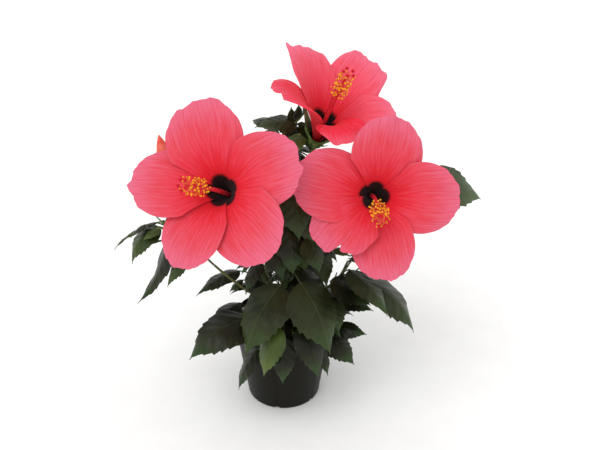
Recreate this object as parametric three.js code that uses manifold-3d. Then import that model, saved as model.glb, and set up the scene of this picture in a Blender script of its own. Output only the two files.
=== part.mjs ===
// A hibiscus shrub in bloom, grown in its nursery pot
// Millimetres, +Z up. The origin is the centre of the pot's flat underside, and -Y is the front.
import * as THREE from 'three';
import Module from 'manifold-3d';
import { mergeVertices } from 'three/addons/utils/BufferGeometryUtils.js';

const wasm = await Module();
wasm.setup();

// Pot
const RIM_RADIUS = 52.5; // a 10.5 cm nursery pot
const POT_HEIGHT = 92;
const FOOT_RADIUS = 38;
const WALL = 1.6;
const RIM_BAND = 11;
const NOTCH_COUNT = 6;
const SOIL_LEVEL = 82;
const POT_SIDES = 30;

// Gaps between neighbouring solids
const GAP = 0.3;
const SKIP_GAP = 0.45;
const SLIVER = 0.01; // edges that cutting leaves shorter than this are taken out

// Trunk and boughs
const FLARE_RADIUS = 9;
const TRUNK_RADIUS = 6;
const FORK_RADIUS = 4.6;
const FORK_HEIGHT = 122;
const BOUGH_RADIUS = 2.6;
const TIP_RADIUS = 1.5;
const TRUNK_SIDES = 10;
const BOUGH_SIDES = 6;
const BOUGH_STEPS = 7;
const STEM_RADII = [1.6, 1]; // of a foliage mass's stem, root and tip
const LOWEST = 40; // no leaf of the rule hangs below this height

// Leaves
const LEAF_WIDTH = 0.62; // of the blade's length
const LEAF_THICKNESS = 0.018; // of the blade's length, at the midrib
const LEAF_STATIONS = [0.02, 0.18, 0.45, 0.76, 1];
const LEAF_BEND = 50; // degrees that a blade curls down from base to tip
const LEAF_FOLD = 14; // degrees that each half hangs below the midrib
const LEAF_ROLL = 36; // degrees, the widest spread of the seeded tilt
const STALK_RADIUS = 0.85;
const SPIRAL = 144; // degrees from one leaf to the next round a stem

// Blooms and buds
const CALYX_DEPTH = 30; // from the eye back to where the petals start
const CALYX_RADIUS = 7.5;
const PETAL_THICKNESS = 1.3;
const PETAL_STATIONS = [0, 0.2, 0.45, 0.7, 0.86, 0.96, 1];
const PETAL_ACROSS = 3;
const WIDEST = 0.7; // of the petal's length, where it is widest
const OVERLAP_ANGLE = 0.82; // radians that a petal's root reaches each way round the throat
const PINWHEEL = 4.5; // how far one edge of a petal stands over its neighbour
const COLUMN_RADIUS = 1.5;
const ANTHER_COUNT = 9;
const ANTHER_REACH = 8.5;
const STIGMA_COUNT = 5;
const BUD_CURL = 20;

const COLOURS = {
  pot: { color: 0x2a2826, roughness: 0.42 },
  soil: { color: 0x2b2019, roughness: 0.95 },
  bark: { color: 0x6b5a43, roughness: 0.85 },
  shoot: { color: 0x4f6a2c, roughness: 0.6 },
  leaf: { color: 0x24401f, roughness: 0.38 },
  petal: { color: 0xf0586a, roughness: 0.62 },
  bud: { color: 0xf0643f, roughness: 0.6 },
};

// The trunk's centre line, with its slight lean
const TRUNK_LINE = [[1, 3, SOIL_LEVEL + GAP], [0.6, 3, 88], [-0.2, 2, 104], [-1, 1, FORK_HEIGHT]];

// Each bough leaves the trunk at a height and grows along a heading that swings and curls; girth is its
// thickness as a share of the other boughs'
const BOUGHS = [
  { name: 'bough_centre', height: 121, turn: 62, rise: 83, length: 126, swing: 20, curl: 6 },
  { name: 'bough_left', height: 98, turn: 204, rise: 47, length: 146, swing: -62, curl: 10, girth: 0.6 },
  { name: 'bough_left_bloom', height: 106, turn: 201, rise: 76, length: 114, swing: 70, curl: 40 },
  { name: 'bough_right_bloom', height: 110, turn: 358, rise: 59, length: 111, swing: 20, curl: 26 },
  { name: 'bough_right_low', height: 98, turn: 338, rise: 40, length: 63, swing: -10, curl: 30 },
  { name: 'bough_back_left', height: 102, turn: 138, rise: 56, length: 84, swing: 20, curl: 34 },
  { name: 'bough_back_right', height: 106, turn: 42, rise: 56, length: 84, swing: -20, curl: 34 },
  { name: 'bough_back', height: 114, turn: 88, rise: 70, length: 96, swing: 0, curl: 30 },
];

// Each foliage mass: where its stem is rooted, how the stem grows, which way it faces, the leaves that the
// photo shows on it and how many more the seeded rule tries to add.
// A shown leaf: at is the place along the stem; turn, rise and reach lead the leaf stalk;
// aim and pitch are the blade's compass turn and slope, and length is the blade's.
const MASSES = [
  {
    name: 'foliage_front_low', seed: 11, height: 95,
    face: 272, pitch: -58, leaf: 50, spread: 86, tries: 8,
    stem: { turn: 273, rise: 41, length: 49, curl: 20 },
    shown: [
      { at: 1, turn: 263, rise: 10, reach: 41, aim: 224, pitch: -68, length: 54 },
      { at: 1, turn: 301, rise: 5, reach: 35, aim: 306, pitch: -64, length: 57 },
      { at: 1, turn: 270, rise: -23, reach: 34, aim: 263, pitch: -73, length: 48, width: 0.56 },
      { at: 0.9, turn: 231, rise: -34, reach: 46, aim: 207, pitch: -61, length: 50, width: 0.5 },
      { at: 0.9, turn: 320, rise: -30, reach: 50, aim: 312, pitch: -63, length: 32, width: 0.5 },
    ],
  },
  {
    name: 'foliage_front_mid', seed: 12, height: 101,
    face: 270, pitch: -52, leaf: 62, spread: 88, tries: 9,
    stem: { turn: 280, rise: 69, length: 78, curl: 20 },
    shown: [
      { at: 1, turn: 258, rise: -14, reach: 28, aim: 226, pitch: -50, length: 77, width: 0.72 },
      { at: 1, turn: 294, rise: -7, reach: 31, aim: 311, pitch: -54, length: 75, width: 0.76 },
    ],
  },
  {
    name: 'foliage_left_low', seed: 18, height: 90,
    face: 200, pitch: -45, leaf: 56, spread: 86, tries: 6,
    stem: { turn: 222, rise: 30, length: 48, curl: 20 },
    shown: [
      { at: 1, turn: 265, rise: 25, reach: 28, aim: 206, pitch: -25, length: 70, bend: 80, width: 0.72,
        roll: 12 },
    ],
  },
  {
    name: 'foliage_right_low', seed: 47, height: 93,
    face: 340, pitch: -45, leaf: 50, spread: 82, tries: 5,
    stem: { turn: 326, rise: 23, length: 47, curl: 20 },
    shown: [
      { at: 1, turn: 293, rise: -36, reach: 24, aim: 330, pitch: -38, length: 41, width: 0.8, roll: -12 },
      { at: 1, turn: 324, rise: -22, reach: 24, aim: 350, pitch: -8, length: 31, width: 0.62, roll: -34 },
      { at: 1, turn: 12, rise: 55, reach: 21, aim: 356, pitch: -18, length: 46, width: 0.5, roll: -24 },
      { at: 1, turn: 316, rise: 56, reach: 30, aim: 295, pitch: -56, length: 33, width: 0.8 },
    ],
  },
  {
    name: 'foliage_left_mid', seed: 15, height: 110,
    face: 205, pitch: -52, leaf: 54, spread: 84, tries: 4,
    stem: { turn: 214, rise: 59, length: 62, curl: 20 },
    shown: [
      { at: 0.75, turn: 178, rise: 19, reach: 22, aim: 203, pitch: -21, length: 50, width: 0.5 },
      { at: 1, turn: 298, rise: 46, reach: 22, aim: 226, pitch: -50, length: 35, width: 0.5 },
      { at: 0.35, turn: 212, rise: 47, reach: 23, aim: 196, pitch: -18, length: 30, width: 0.4 },
      { at: 0.55, turn: 154, rise: 62, reach: 21, aim: 211, pitch: -65, length: 32, width: 0.75 },
      { at: 0.8, turn: 65, rise: 74, reach: 22, aim: 197, pitch: -25, length: 30, width: 0.7 },
    ],
  },
  {
    name: 'foliage_right_mid', seed: 50, bough: 'bough_right_low',
    face: 350, pitch: -45, leaf: 56, spread: 88, tries: 6,
    stem: { turn: 340, rise: 54, length: 32, curl: 20 },
    shown: [
      { at: 0.75, turn: 334, rise: 4, reach: 22, aim: 340, pitch: -43, length: 75, bend: 72, width: 0.66 },
      { at: 0.2, turn: 265, rise: 40, reach: 30, aim: 354, pitch: -33, length: 48, width: 0.74, roll: -14 },
    ],
  },
  {
    name: 'foliage_far_left', seed: 113, bough: 'bough_left',
    face: 170, pitch: -45, leaf: 40, spread: 92, tries: 1,
    stem: { turn: 159, rise: 32, length: 33, curl: 20 },
    shown: [
      { at: 0.3, turn: 168, rise: 21, reach: 23, aim: 211, pitch: -45, length: 44, bend: 96, width: 0.72 },
      { at: 1, turn: 149, rise: -32, reach: 27, aim: 194, pitch: -32, length: 38, width: 0.2 },
      { at: 0.7, turn: 143, rise: -53, reach: 23, aim: 209, pitch: -7, length: 18, width: 0.3 },
      { at: 0.25, turn: 148, rise: -15, reach: 22, aim: 208, pitch: -62, length: 75, bend: -42, width: 0.36 },
      { at: 0.35, turn: 29, rise: -69, reach: 22, aim: 209, pitch: -52, length: 41 },
    ],
  },
  {
    name: 'foliage_centre', seed: 18, height: 107,
    face: 285, pitch: -64, leaf: 56, spread: 104, tries: 9,
    stem: { turn: 290, rise: 78, length: 130, curl: 34 },
    shown: [
      { at: 0.7, turn: 228, rise: 80, reach: 23, aim: 283, pitch: -67, length: 48, width: 0.74 },
      { at: 0.75, turn: 208, rise: 5, reach: 23, aim: 308, pitch: -58, length: 38, width: 0.7 },
      { at: 0.9, turn: 333, rise: -36, reach: 22, aim: 310, pitch: -60, length: 36, width: 0.8 },
      { at: 1, turn: 68, rise: 68, reach: 21, aim: 285, pitch: -69, length: 51, width: 0.7 },
      { at: 0.75, turn: 7, rise: -2, reach: 26, aim: 332, pitch: -45, length: 30, width: 0.6 },
      { at: 0.9, turn: 18, rise: 36, reach: 23, aim: 274, pitch: -67, length: 40, width: 0.7 },
      { at: 0.65, turn: 18, rise: -2, reach: 28, aim: 302, pitch: -67, length: 42, width: 0.6 },
    ],
  },
  {
    name: 'foliage_left_high', seed: 19, bough: 'bough_left_bloom',
    face: 215, pitch: -50, leaf: 54, spread: 84, tries: 7,
    stem: { turn: 100, rise: 74, length: 46, curl: 10 },
    shown: [],
  },
  {
    name: 'foliage_right_high', seed: 4, bough: 'bough_right_bloom',
    face: 20, pitch: -30, leaf: 52, spread: 112, tries: 5,
    stem: { turn: 18, rise: 50, length: 60, curl: 20 },
    shown: [
      { at: 1, turn: 344, rise: 4, reach: 50, aim: 11, pitch: -26, length: 61, width: 0.8, roll: -35 },
    ],
  },
  {
    name: 'foliage_top', seed: 21, bough: 'bough_centre',
    face: 150, pitch: -40, leaf: 46, spread: 84, tries: 5,
    stem: { turn: 256, rise: 75, length: 60, curl: 10 },
    shown: [
      { at: 0.75, turn: 14, rise: 61, reach: 23, aim: 194, pitch: -1, length: 40, roll: 20 },
      { at: 0.8, turn: 314, rise: 34, reach: 24, aim: 245, pitch: -28, length: 33 },
      { at: 0.75, turn: 39, rise: 69, reach: 22, aim: 104, pitch: 82, length: 14 },
      { at: 0.7, turn: 350, rise: -25, reach: 34, aim: 10, pitch: -30, length: 25 },
      { at: 0.95, turn: 45, rise: 10, reach: 23, aim: 314, pitch: -67, length: 29 },
    ],
  },
  {
    name: 'foliage_back_low', seed: 22, height: 96,
    face: 90, pitch: -50, leaf: 58, spread: 84, tries: 7,
    stem: { turn: 92, rise: 42, length: 46, curl: 20 },
    shown: [],
  },
  {
    name: 'foliage_back_left', seed: 23, bough: 'bough_back_left',
    face: 140, pitch: -46, leaf: 58, spread: 76, tries: 10,
    stem: { turn: 140, rise: 76, length: 48, curl: 20 },
    shown: [],
  },
  {
    name: 'foliage_back_right', seed: 7, bough: 'bough_back_right',
    face: 40, pitch: -46, leaf: 58, spread: 76, tries: 7,
    stem: { turn: 40, rise: 76, length: 48, curl: 20 },
    shown: [],
  },
  {
    name: 'foliage_back_high', seed: 25, bough: 'bough_back',
    face: 90, pitch: -44, leaf: 52, spread: 76, tries: 7,
    stem: { turn: 95, rise: 78, length: 54, curl: 10 },
    shown: [],
  },
];

// Each bloom: the eye, the way it faces, how its flower stalk leaves a bough, where the column's tip stands
// from the eye, and its five petals. A petal: clock is its angle round the axis, from the right,
// counter-clockwise; reach is how far it spreads, lift how far it comes forward of the eye and flare how
// early it does so.
const BLOOMS = [
  {
    name: 'bloom_left', eye: [-53.6, -78, 282.8], turn: 251.5, rise: 37, flare: 3, width: 72,
    bough: 'bough_left_bloom', at: 0.86, out: 20, column: [-25, -25, 17],
    petals: [
      { clock: 113, reach: 79, lift: 14 }, { clock: 184, reach: 77, lift: 14, width: 66 },
      { clock: 252, reach: 76, lift: 12, width: 60 }, { clock: 321, reach: 80, lift: 12 },
      { clock: 388, reach: 79, lift: 14 },
    ],
  },
  {
    name: 'bloom_right', eye: [85.3, -58, 264.4], turn: 273, rise: 25, flare: 3, width: 70,
    bough: 'bough_right_bloom', at: 0.84, out: 14, column: [2, -40, 0],
    petals: [
      { clock: 76, reach: 73, lift: 14 }, { clock: 163, reach: 77, lift: 15 },
      { clock: 224, reach: 65, lift: 16, width: 79 }, { clock: 277, reach: 75, lift: 10, width: 60 },
      { clock: 358, reach: 74, lift: 13 },
    ],
  },
  {
    name: 'bloom_top', eye: [40.5, -4, 316.5], turn: 311, rise: 64.5, flare: 1.8, width: 60,
    bough: 'bough_centre', at: 0.88, out: 20, column: [18.3, -19, 49.8],
    petals: [
      { clock: 18, reach: 71, lift: 34, width: 57 }, { clock: 88, reach: 63, lift: 40, width: 50 },
      { clock: 167, reach: 66, lift: 45, width: 49 }, { clock: 252, reach: 48, lift: 19, flare: 3 },
      { clock: 308, reach: 60, lift: 28 },
    ],
  },
];

// Closed buds: the tip of the bough that carries one, its flower stalk, and its own length and radius
const BUDS = [
  { name: 'bud_left', bough: 'bough_left', at: 0.9, turn: 166, rise: 71, reach: 78, length: 50, radius: 7.5 },
  { name: 'bud_back', bough: 'bough_back', at: 0.9, turn: 150, rise: 42, reach: 46, length: 34, radius: 6 },
];

const vector = (p) => new THREE.Vector3(...p);
const radians = THREE.MathUtils.degToRad;

// A repeatable stream of numbers from 0 to 1
function seeded(seed) {
  let state = seed;
  return () => {
    state = (state * 1664525 + 1013904223) % 4294967296;
    return state / 4294967296;
  };
}

function heading(turn, rise) {
  const level = Math.cos(radians(rise));
  const [t, r] = [radians(turn), radians(rise)];
  return new THREE.Vector3(level * Math.cos(t), level * Math.sin(t), Math.sin(r));
}

// A line that grows from a point, swinging sideways and curling upwards about its mean heading
function grow(start, { turn, rise, length, swing = 0, curl = 0, steps = 6 }) {
  const line = [start.clone()];
  for (let i = 0; i < steps; i += 1) {
    const s = (i + 0.5) / steps - 0.5;
    line.push(line[i].clone().addScaledVector(heading(turn + swing * s, rise + curl * s), length / steps));
  }
  return line;
}

function along(line, fraction) {
  const place = fraction * (line.length - 1);
  const i = Math.min(Math.floor(place), line.length - 2);
  return line[i].clone().lerp(line[i + 1], place - i);
}

function tangent(line, i) {
  const a = line[Math.max(i - 1, 0)];
  const b = line[Math.min(i + 1, line.length - 1)];
  return b.clone().sub(a).normalize();
}

// Rings of points, counter-clockwise about the way ahead, joined into one closed surface
function loft(rings) {
  const sides = rings[0].length;
  const last = (rings.length - 1) * sides;
  const faces = [];
  for (let r = 0; r < last; r += sides) {
    for (let k = 0; k < sides; k += 1) {
      const next = (k + 1) % sides;
      faces.push(r + k, r + next, r + sides + next, r + k, r + sides + next, r + sides + k);
    }
  }
  for (let k = 1; k < sides - 1; k += 1) {
    faces.push(0, k + 1, k, last, last + k, last + k + 1);
  }
  const geometry = new THREE.BufferGeometry().setFromPoints(rings.flat());
  geometry.setIndex(faces);
  return geometry;
}

// A tapering limb along a line; radius(s) gives its radius from root to tip
function tube(line, radius, sides) {
  let side = new THREE.Vector3(0.31, 0.77, 0.55);
  const rings = line.map((point, i) => {
    const ahead = tangent(line, i);
    side = side.clone().addScaledVector(ahead, -side.dot(ahead)).normalize();
    const up = ahead.clone().cross(side);
    const r = radius(i / (line.length - 1));
    return Array.from({ length: sides }, (_, k) => {
      const angle = (2 * Math.PI * k) / sides;
      return point.clone().addScaledVector(side, r * Math.cos(angle))
        .addScaledVector(up, r * Math.sin(angle));
    });
  });
  return loft(rings);
}

const taper = (root, tip) => (s) => root + (tip - root) * s;

// A solid for joining and cutting
function solid(geometry) {
  const bare = geometry.clone();
  bare.deleteAttribute('normal');
  bare.deleteAttribute('uv');
  const merged = mergeVertices(bare, 1e-4);
  return new wasm.Manifold(new wasm.Mesh({
    numProp: 3,
    vertProperties: new Float32Array(merged.attributes.position.array),
    triVerts: new Uint32Array(merged.index.array),
  }));
}

const join = (solids) => solids.reduce((whole, piece) => whole.add(piece));

// The largest body alone, so that no scrap, sealed hollow or sliver of a face is left
function wholeBody(shape) {
  const bodies = shape.decompose();
  return bodies.reduce((best, body) => (body.volume() > best.volume() ? body : best)).simplify(SLIVER);
}

function geometryOf(shape) {
  const { vertProperties, triVerts } = shape.getMesh();
  const geometry = new THREE.BufferGeometry();
  geometry.setAttribute('position', new THREE.BufferAttribute(vertProperties, 3));
  geometry.setIndex(new THREE.BufferAttribute(triVerts, 1));
  return geometry;
}

// What a leaf may not touch
const placed = [];

function keep(shape, owner, kind) {
  const { min, max } = shape.boundingBox();
  placed.push({ shape, owner, kind, box: new THREE.Box3(vector(min), vector(max)) });
  return shape;
}

function touches(shape, ignore) {
  const { min, max } = shape.boundingBox();
  const box = new THREE.Box3(vector(min), vector(max));
  return placed.some((other) => !ignore(other) && box.intersectsBox(other.box)
    && !shape.intersect(other.shape).isEmpty());
}

// Half the blade's width at u along it, as a share of the widest: rounded base, drawn-out tip
const bladeOutline = (u) => Math.sin(Math.PI * u ** 0.62) ** 0.92;

// A blade: a diamond section along an arched midrib. extra thickens it to test its clearance.
function blade(base, { aim, pitch, length, roll = 0, bend = LEAF_BEND, width = LEAF_WIDTH }, extra = 0) {
  const arc = radians(bend);
  const radius = length / (2 * Math.sin(arc / 2));
  const ahead = heading(aim, pitch);
  const flat = heading(aim - 90, 0);
  const turned = radians(roll);
  const over = flat.clone().cross(ahead);
  const side = flat.clone().multiplyScalar(Math.cos(turned)).addScaledVector(over, Math.sin(turned));
  const up = side.clone().cross(ahead);
  const fold = radians(LEAF_FOLD);
  const half = Math.max(LEAF_THICKNESS * length, 0.8) / 2 + extra;
  const rings = LEAF_STATIONS.map((u) => {
    const a = arc * (u - 0.5);
    const middle = base.clone()
      .addScaledVector(ahead, radius * (Math.sin(a) + Math.sin(arc / 2)))
      .addScaledVector(up, radius * (Math.cos(a) - Math.cos(arc / 2)));
    const normal = up.clone().multiplyScalar(Math.cos(a)).addScaledVector(ahead, Math.sin(a));
    const reach = Math.max(bladeOutline(u) * width * length * 0.5, 0.3) + extra;
    const edge = (sign) => middle.clone()
      .addScaledVector(side, sign * reach * Math.cos(fold))
      .addScaledVector(normal, -reach * Math.sin(fold));
    const thick = half * (u < 1 ? 1 : 0.5);
    const midrib = (lift) => middle.clone().addScaledVector(normal, lift);
    return [edge(-1), midrib(thick), edge(1), midrib(-thick)];
  });
  return solid(loft(rings));
}

// A leaf stalk from the stem to the blade's base, sunk into both
function leafStalk(root, leaf, extra = 0) {
  const line = grow(root, { turn: leaf.turn, rise: leaf.rise, length: leaf.reach, curl: -24, steps: 2 });
  const base = line[line.length - 1];
  const { bend = LEAF_BEND } = leaf;
  line.push(base.clone().addScaledVector(heading(leaf.aim, leaf.pitch + bend / 2), 4));
  return { base, shape: solid(tube(line, taper(STALK_RADIUS + extra, 0.6 + extra), 3)) };
}

// The seeded rule's next leaf: a spiral round the stem, pressed towards the side that the mass faces
function nextLeaf(mass, random, i) {
  const spread = ((i * SPIRAL + 50 * (random() - 0.5)) % 360) - 180;
  const turn = mass.face + 0.62 * spread;
  return {
    at: 0.18 + 0.82 * ((i + random()) / mass.tries),
    turn,
    rise: 8 + 40 * random(),
    reach: 13 + 15 * random(),
    aim: turn + 40 * (random() - 0.5),
    pitch: mass.pitch + 34 * (random() - 0.5),
    length: mass.leaf * (0.72 + 0.46 * random()),
    roll: LEAF_ROLL * (random() - 0.5),
  };
}

// A leaf of the rule is skipped where it would leave the mass's space or touch anything that is there
function fits(mass, stem, leaf) {
  const root = along(stem, leaf.at);
  const stalk = leafStalk(root, leaf, SKIP_GAP);
  const wide = blade(stalk.base, leaf, SKIP_GAP);
  const tip = stalk.base.clone().addScaledVector(heading(leaf.aim, leaf.pitch), leaf.length);
  const centre = stem[stem.length - 1];
  if (tip.distanceTo(centre) > mass.spread || tip.z < LOWEST) return false;
  if (touches(wide, () => false)) return false;
  return !touches(stalk.shape, (other) => other.owner === mass.name && other.kind !== 'blade');
}

function addLeaf(mass, stem, leaf) {
  const stalk = leafStalk(along(stem, leaf.at), leaf);
  mass.pieces.push(keep(stalk.shape, mass.name, 'stalk'));
  mass.pieces.push(keep(blade(stalk.base, leaf), mass.name, 'blade'));
}

// Half the petal's width at u along it, as a share of the widest: a wedge that ends in a round tip
function petalOutline(u) {
  if (u < WIDEST) return Math.sin((Math.PI / 2) * (u / WIDEST)) ** 0.9;
  return Math.sqrt(Math.max(1 - ((u - WIDEST) / (1 - WIDEST)) ** 2, 0)) ** 0.8;
}

// The flower's own frame: right, up and ahead
function flowerFrame(bloom) {
  const ahead = heading(bloom.turn, bloom.rise);
  const right = new THREE.Vector3(0, 0, 1).cross(ahead).normalize();
  return { eye: vector(bloom.eye), ahead, right, up: ahead.clone().cross(right) };
}

function petal(frame, bloom, { clock, reach, lift, width = bloom.width, flare = bloom.flare }) {
  const rings = PETAL_STATIONS.map((u) => {
    const r = 3 + (reach - 3) * u ** 1.25;
    const z = lift - (lift + CALYX_DEPTH) * (1 - u) ** flare;
    const spread = Math.max(petalOutline(u) * width * 0.5, 1.5);
    const point = (v, thick) => {
      const angle = radians(clock) + v * Math.min(spread / r, OVERLAP_ANGLE);
      const height = z + PINWHEEL * v * u + thick;
      return frame.eye.clone().addScaledVector(frame.right, r * Math.cos(angle))
        .addScaledVector(frame.up, r * Math.sin(angle)).addScaledVector(frame.ahead, height);
    };
    const ring = [];
    for (const side of [1, -1]) {
      for (let k = 0; k < PETAL_ACROSS; k += 1) {
        ring.push(point(side * (1 - (2 * k) / PETAL_ACROSS), k ? (side * PETAL_THICKNESS) / 2 : 0));
      }
    }
    return ring;
  });
  return solid(loft(rings));
}

// The column runs from the throat to its tip, with anthers round its outer half and five stigmas
function column(frame, bloom) {
  const tip = frame.eye.clone().add(vector(bloom.column));
  const curve = new THREE.CubicBezierCurve3(
    frame.eye.clone().addScaledVector(frame.ahead, 2 - CALYX_DEPTH),
    frame.eye.clone().addScaledVector(frame.ahead, 4),
    frame.eye.clone().lerp(tip, 0.5), tip);
  const shapes = [solid(tube(curve.getPoints(6), taper(COLUMN_RADIUS * 1.4, COLUMN_RADIUS), 5))];
  const ahead = curve.getTangent(1);
  const side = new THREE.Vector3(0, 0, 1).cross(ahead).normalize();
  const up = ahead.clone().cross(side);
  const spike = (root, angle, forward, reach, radius) => {
    const out = ahead.clone().multiplyScalar(forward)
      .addScaledVector(side, Math.cos(angle)).addScaledVector(up, Math.sin(angle)).normalize();
    const line = [root, root.clone().addScaledVector(out, reach)];
    return solid(tube(line, taper(radius * 0.5, radius), 3));
  };
  for (let i = 0; i < ANTHER_COUNT; i += 1) {
    const root = curve.getPoint(0.55 + (0.38 * i) / ANTHER_COUNT);
    shapes.push(spike(root, radians(i * 137.5), 0.5, ANTHER_REACH, 0.8));
  }
  for (let i = 0; i < STIGMA_COUNT; i += 1) {
    shapes.push(spike(curve.getPoint(0.99), (2 * Math.PI * i) / STIGMA_COUNT, 1.6, 7, 0.9));
  }
  return join(shapes);
}

// The green cup behind the petals, with its five pointed lobes
function calyx(frame) {
  const back = (depth) => frame.eye.clone().addScaledVector(frame.ahead, -depth);
  const line = [CALYX_DEPTH + 5, CALYX_DEPTH, CALYX_DEPTH - 7, CALYX_DEPTH - 14].map(back);
  const shapes = [solid(tube(line, (s) => 3 + (CALYX_RADIUS - 3) * Math.sqrt(s), 8))];
  for (let i = 0; i < 5; i += 1) {
    const angle = radians(36 + 72 * i);
    const out = frame.right.clone().multiplyScalar(Math.cos(angle))
      .addScaledVector(frame.up, Math.sin(angle));
    const root = back(CALYX_DEPTH - 9).addScaledVector(out, CALYX_RADIUS - 2);
    const end = back(CALYX_DEPTH - 22).addScaledVector(out, CALYX_RADIUS + 9);
    shapes.push(solid(tube([root, root.clone().lerp(end, 0.55), end], (s) => 3.2 * (1 - 0.85 * s), 4)));
  }
  return join(shapes);
}

// The flower stalk, from inside its bough to the calyx
function flowerStalk(frame, bloom, limb) {
  const root = along(limb.line, bloom.at);
  const end = frame.eye.clone().addScaledVector(frame.ahead, -(CALYX_DEPTH + 3));
  const level = end.clone().sub(root).setZ(0).normalize();
  const curve = new THREE.CubicBezierCurve3(root,
    root.clone().addScaledVector(level, bloom.out).add(new THREE.Vector3(0, 0, bloom.out * 0.5)),
    end.clone().addScaledVector(frame.ahead, -bloom.out), end);
  return solid(tube(curve.getPoints(6), taper(1.3, 1.7), 5));
}

function bloomShape(bloom, limbs) {
  const frame = flowerFrame(bloom);
  const limb = limbs.find((each) => each.name === bloom.bough);
  const shapes = bloom.petals.map((each) => petal(frame, bloom, each));
  const whole = join([...shapes, column(frame, bloom), calyx(frame), flowerStalk(frame, bloom, limb)]);
  return wholeBody(whole.subtract(limb.grown));
}

// A closed bud: a slim pointed spindle in a small calyx at the end of its stalk
function budShape(bud, limbs) {
  const limb = limbs.find((each) => each.name === bud.bough);
  const root = along(limb.line, bud.at);
  const stalk = grow(root, { turn: bud.turn, rise: bud.rise, length: bud.reach, curl: BUD_CURL });
  const foot = stalk[stalk.length - 1];
  const ahead = tangent(stalk, stalk.length - 1);
  const stations = [-0.06, 0.08, 0.3, 0.55, 0.8, 1];
  const spindle = stations.map((s) => foot.clone().addScaledVector(ahead, s * bud.length));
  const girth = (s) => Math.max(bud.radius * Math.sin(Math.PI * Math.min(s * 0.86 + 0.14, 1)) ** 0.8, 0.4);
  const shape = join([solid(tube(stalk, taper(1.1, 1.5), 5)), solid(tube(spindle, girth, 8))]);
  return wholeBody(shape.subtract(limb.grown));
}

// The pot's wall, floor and rim band, with drainage notches at the foot
function potGeometry() {
  const shoulder = POT_HEIGHT - RIM_BAND;
  const wallTop = RIM_RADIUS - 3;
  const outline = [[0, 0], [FOOT_RADIUS - 1.5, 0], [FOOT_RADIUS, 1.5], [wallTop, shoulder],
    [RIM_RADIUS - 0.8, shoulder + 0.8], [RIM_RADIUS, POT_HEIGHT - 1], [RIM_RADIUS - 0.8, POT_HEIGHT],
    [RIM_RADIUS - 2, POT_HEIGHT], [wallTop - WALL + 1, shoulder + 2], [wallTop - WALL - 0.4, shoulder],
    [FOOT_RADIUS - WALL, WALL], [0, WALL]];
  const shell = new THREE.LatheGeometry(outline.map(([r, z]) => new THREE.Vector2(r, z)), POT_SIDES);
  shell.rotateX(Math.PI / 2);
  let shape = solid(shell);
  for (let i = 0; i < NOTCH_COUNT; i += 1) {
    const notch = new THREE.BoxGeometry(7, 5, 7);
    notch.translate(FOOT_RADIUS, 0, 0);
    notch.rotateZ(radians(-100 + (360 * i) / NOTCH_COUNT));
    shape = shape.subtract(solid(notch));
  }
  return geometryOf(wholeBody(shape));
}

// The moist compost that fills the pot
function soilGeometry() {
  const slope = (RIM_RADIUS - 3 - FOOT_RADIUS) / (POT_HEIGHT - RIM_BAND);
  const inner = (z) => FOOT_RADIUS - WALL - 0.4 - GAP + slope * (z - WALL);
  const low = WALL + GAP;
  const outline = [[0, low], [inner(low) - 6, low], [inner(low), low + 6],
    [inner(SOIL_LEVEL) - 1.2, SOIL_LEVEL - 1], [inner(SOIL_LEVEL) - 3, SOIL_LEVEL], [0, SOIL_LEVEL]];
  const fill = new THREE.LatheGeometry(outline.map(([r, z]) => new THREE.Vector2(r, z)), POT_SIDES);
  return fill.rotateX(Math.PI / 2);
}

// The trunk stands upright, so its rings lie level: it is cut flat at the soil, where it flares
function trunkLimb() {
  const line = TRUNK_LINE.map(vector);
  const upper = taper(TRUNK_RADIUS, FORK_RADIUS);
  const girth = (extra) => (s) => extra + (s === 0 ? FLARE_RADIUS : upper(s));
  const grown = trunkSolid(grownLine(line), girth(GAP));
  return { name: 'trunk', line, shape: trunkSolid(line, girth(0)), grown };
}

function trunkSolid(line, radius) {
  const rings = line.map((point, i) => {
    const r = radius(i / (line.length - 1));
    return Array.from({ length: TRUNK_SIDES }, (_, k) => {
      const angle = (2 * Math.PI * k) / TRUNK_SIDES;
      return point.clone().add(new THREE.Vector3(r * Math.cos(angle), r * Math.sin(angle), 0));
    });
  });
  return solid(loft(rings));
}

// The same line, longer by the gap at its tip
function grownLine(line) {
  const longer = line.map((point) => point.clone());
  longer[longer.length - 1].addScaledVector(tangent(line, line.length - 1), GAP);
  return longer;
}

// The point of a rising line at a height
function pointAtHeight(line, height) {
  const i = line.findIndex((point) => point.z >= height);
  const [low, high] = [line[i - 1], line[i]];
  return low.clone().lerp(high, (height - low.z) / (high.z - low.z));
}

function boughLimb(bough, trunk, others) {
  const line = grow(pointAtHeight(trunk.line, bough.height), { ...bough, steps: BOUGH_STEPS });
  const { girth = 1 } = bough;
  const radii = [BOUGH_RADIUS * girth, TIP_RADIUS * girth];
  let shape = solid(tube(line, taper(...radii), BOUGH_SIDES)).subtract(trunk.grown);
  others.forEach((other) => { shape = shape.subtract(other.grown); });
  const wide = radii.map((radius) => radius + GAP);
  const grown = solid(tube(grownLine(line), taper(...wide), BOUGH_SIDES));
  return { name: bough.name, line, shape: wholeBody(shape), grown };
}

function named(name, geometry, look) {
  const mesh = new THREE.Mesh(geometry, new THREE.MeshStandardMaterial({ ...COLOURS[look], metalness: 0 }));
  mesh.name = name;
  return mesh;
}

const plant = new THREE.Group();
const pot = potGeometry();
plant.add(named('pot', pot, 'pot'), named('potting_soil', soilGeometry(), 'soil'));

const trunk = trunkLimb();
plant.add(named('trunk', geometryOf(trunk.shape), 'bark'));

const boughs = [];
BOUGHS.forEach((bough) => boughs.push(boughLimb(bough, trunk, boughs)));
boughs.forEach((bough) => plant.add(named(bough.name, geometryOf(bough.shape), 'shoot')));

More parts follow.
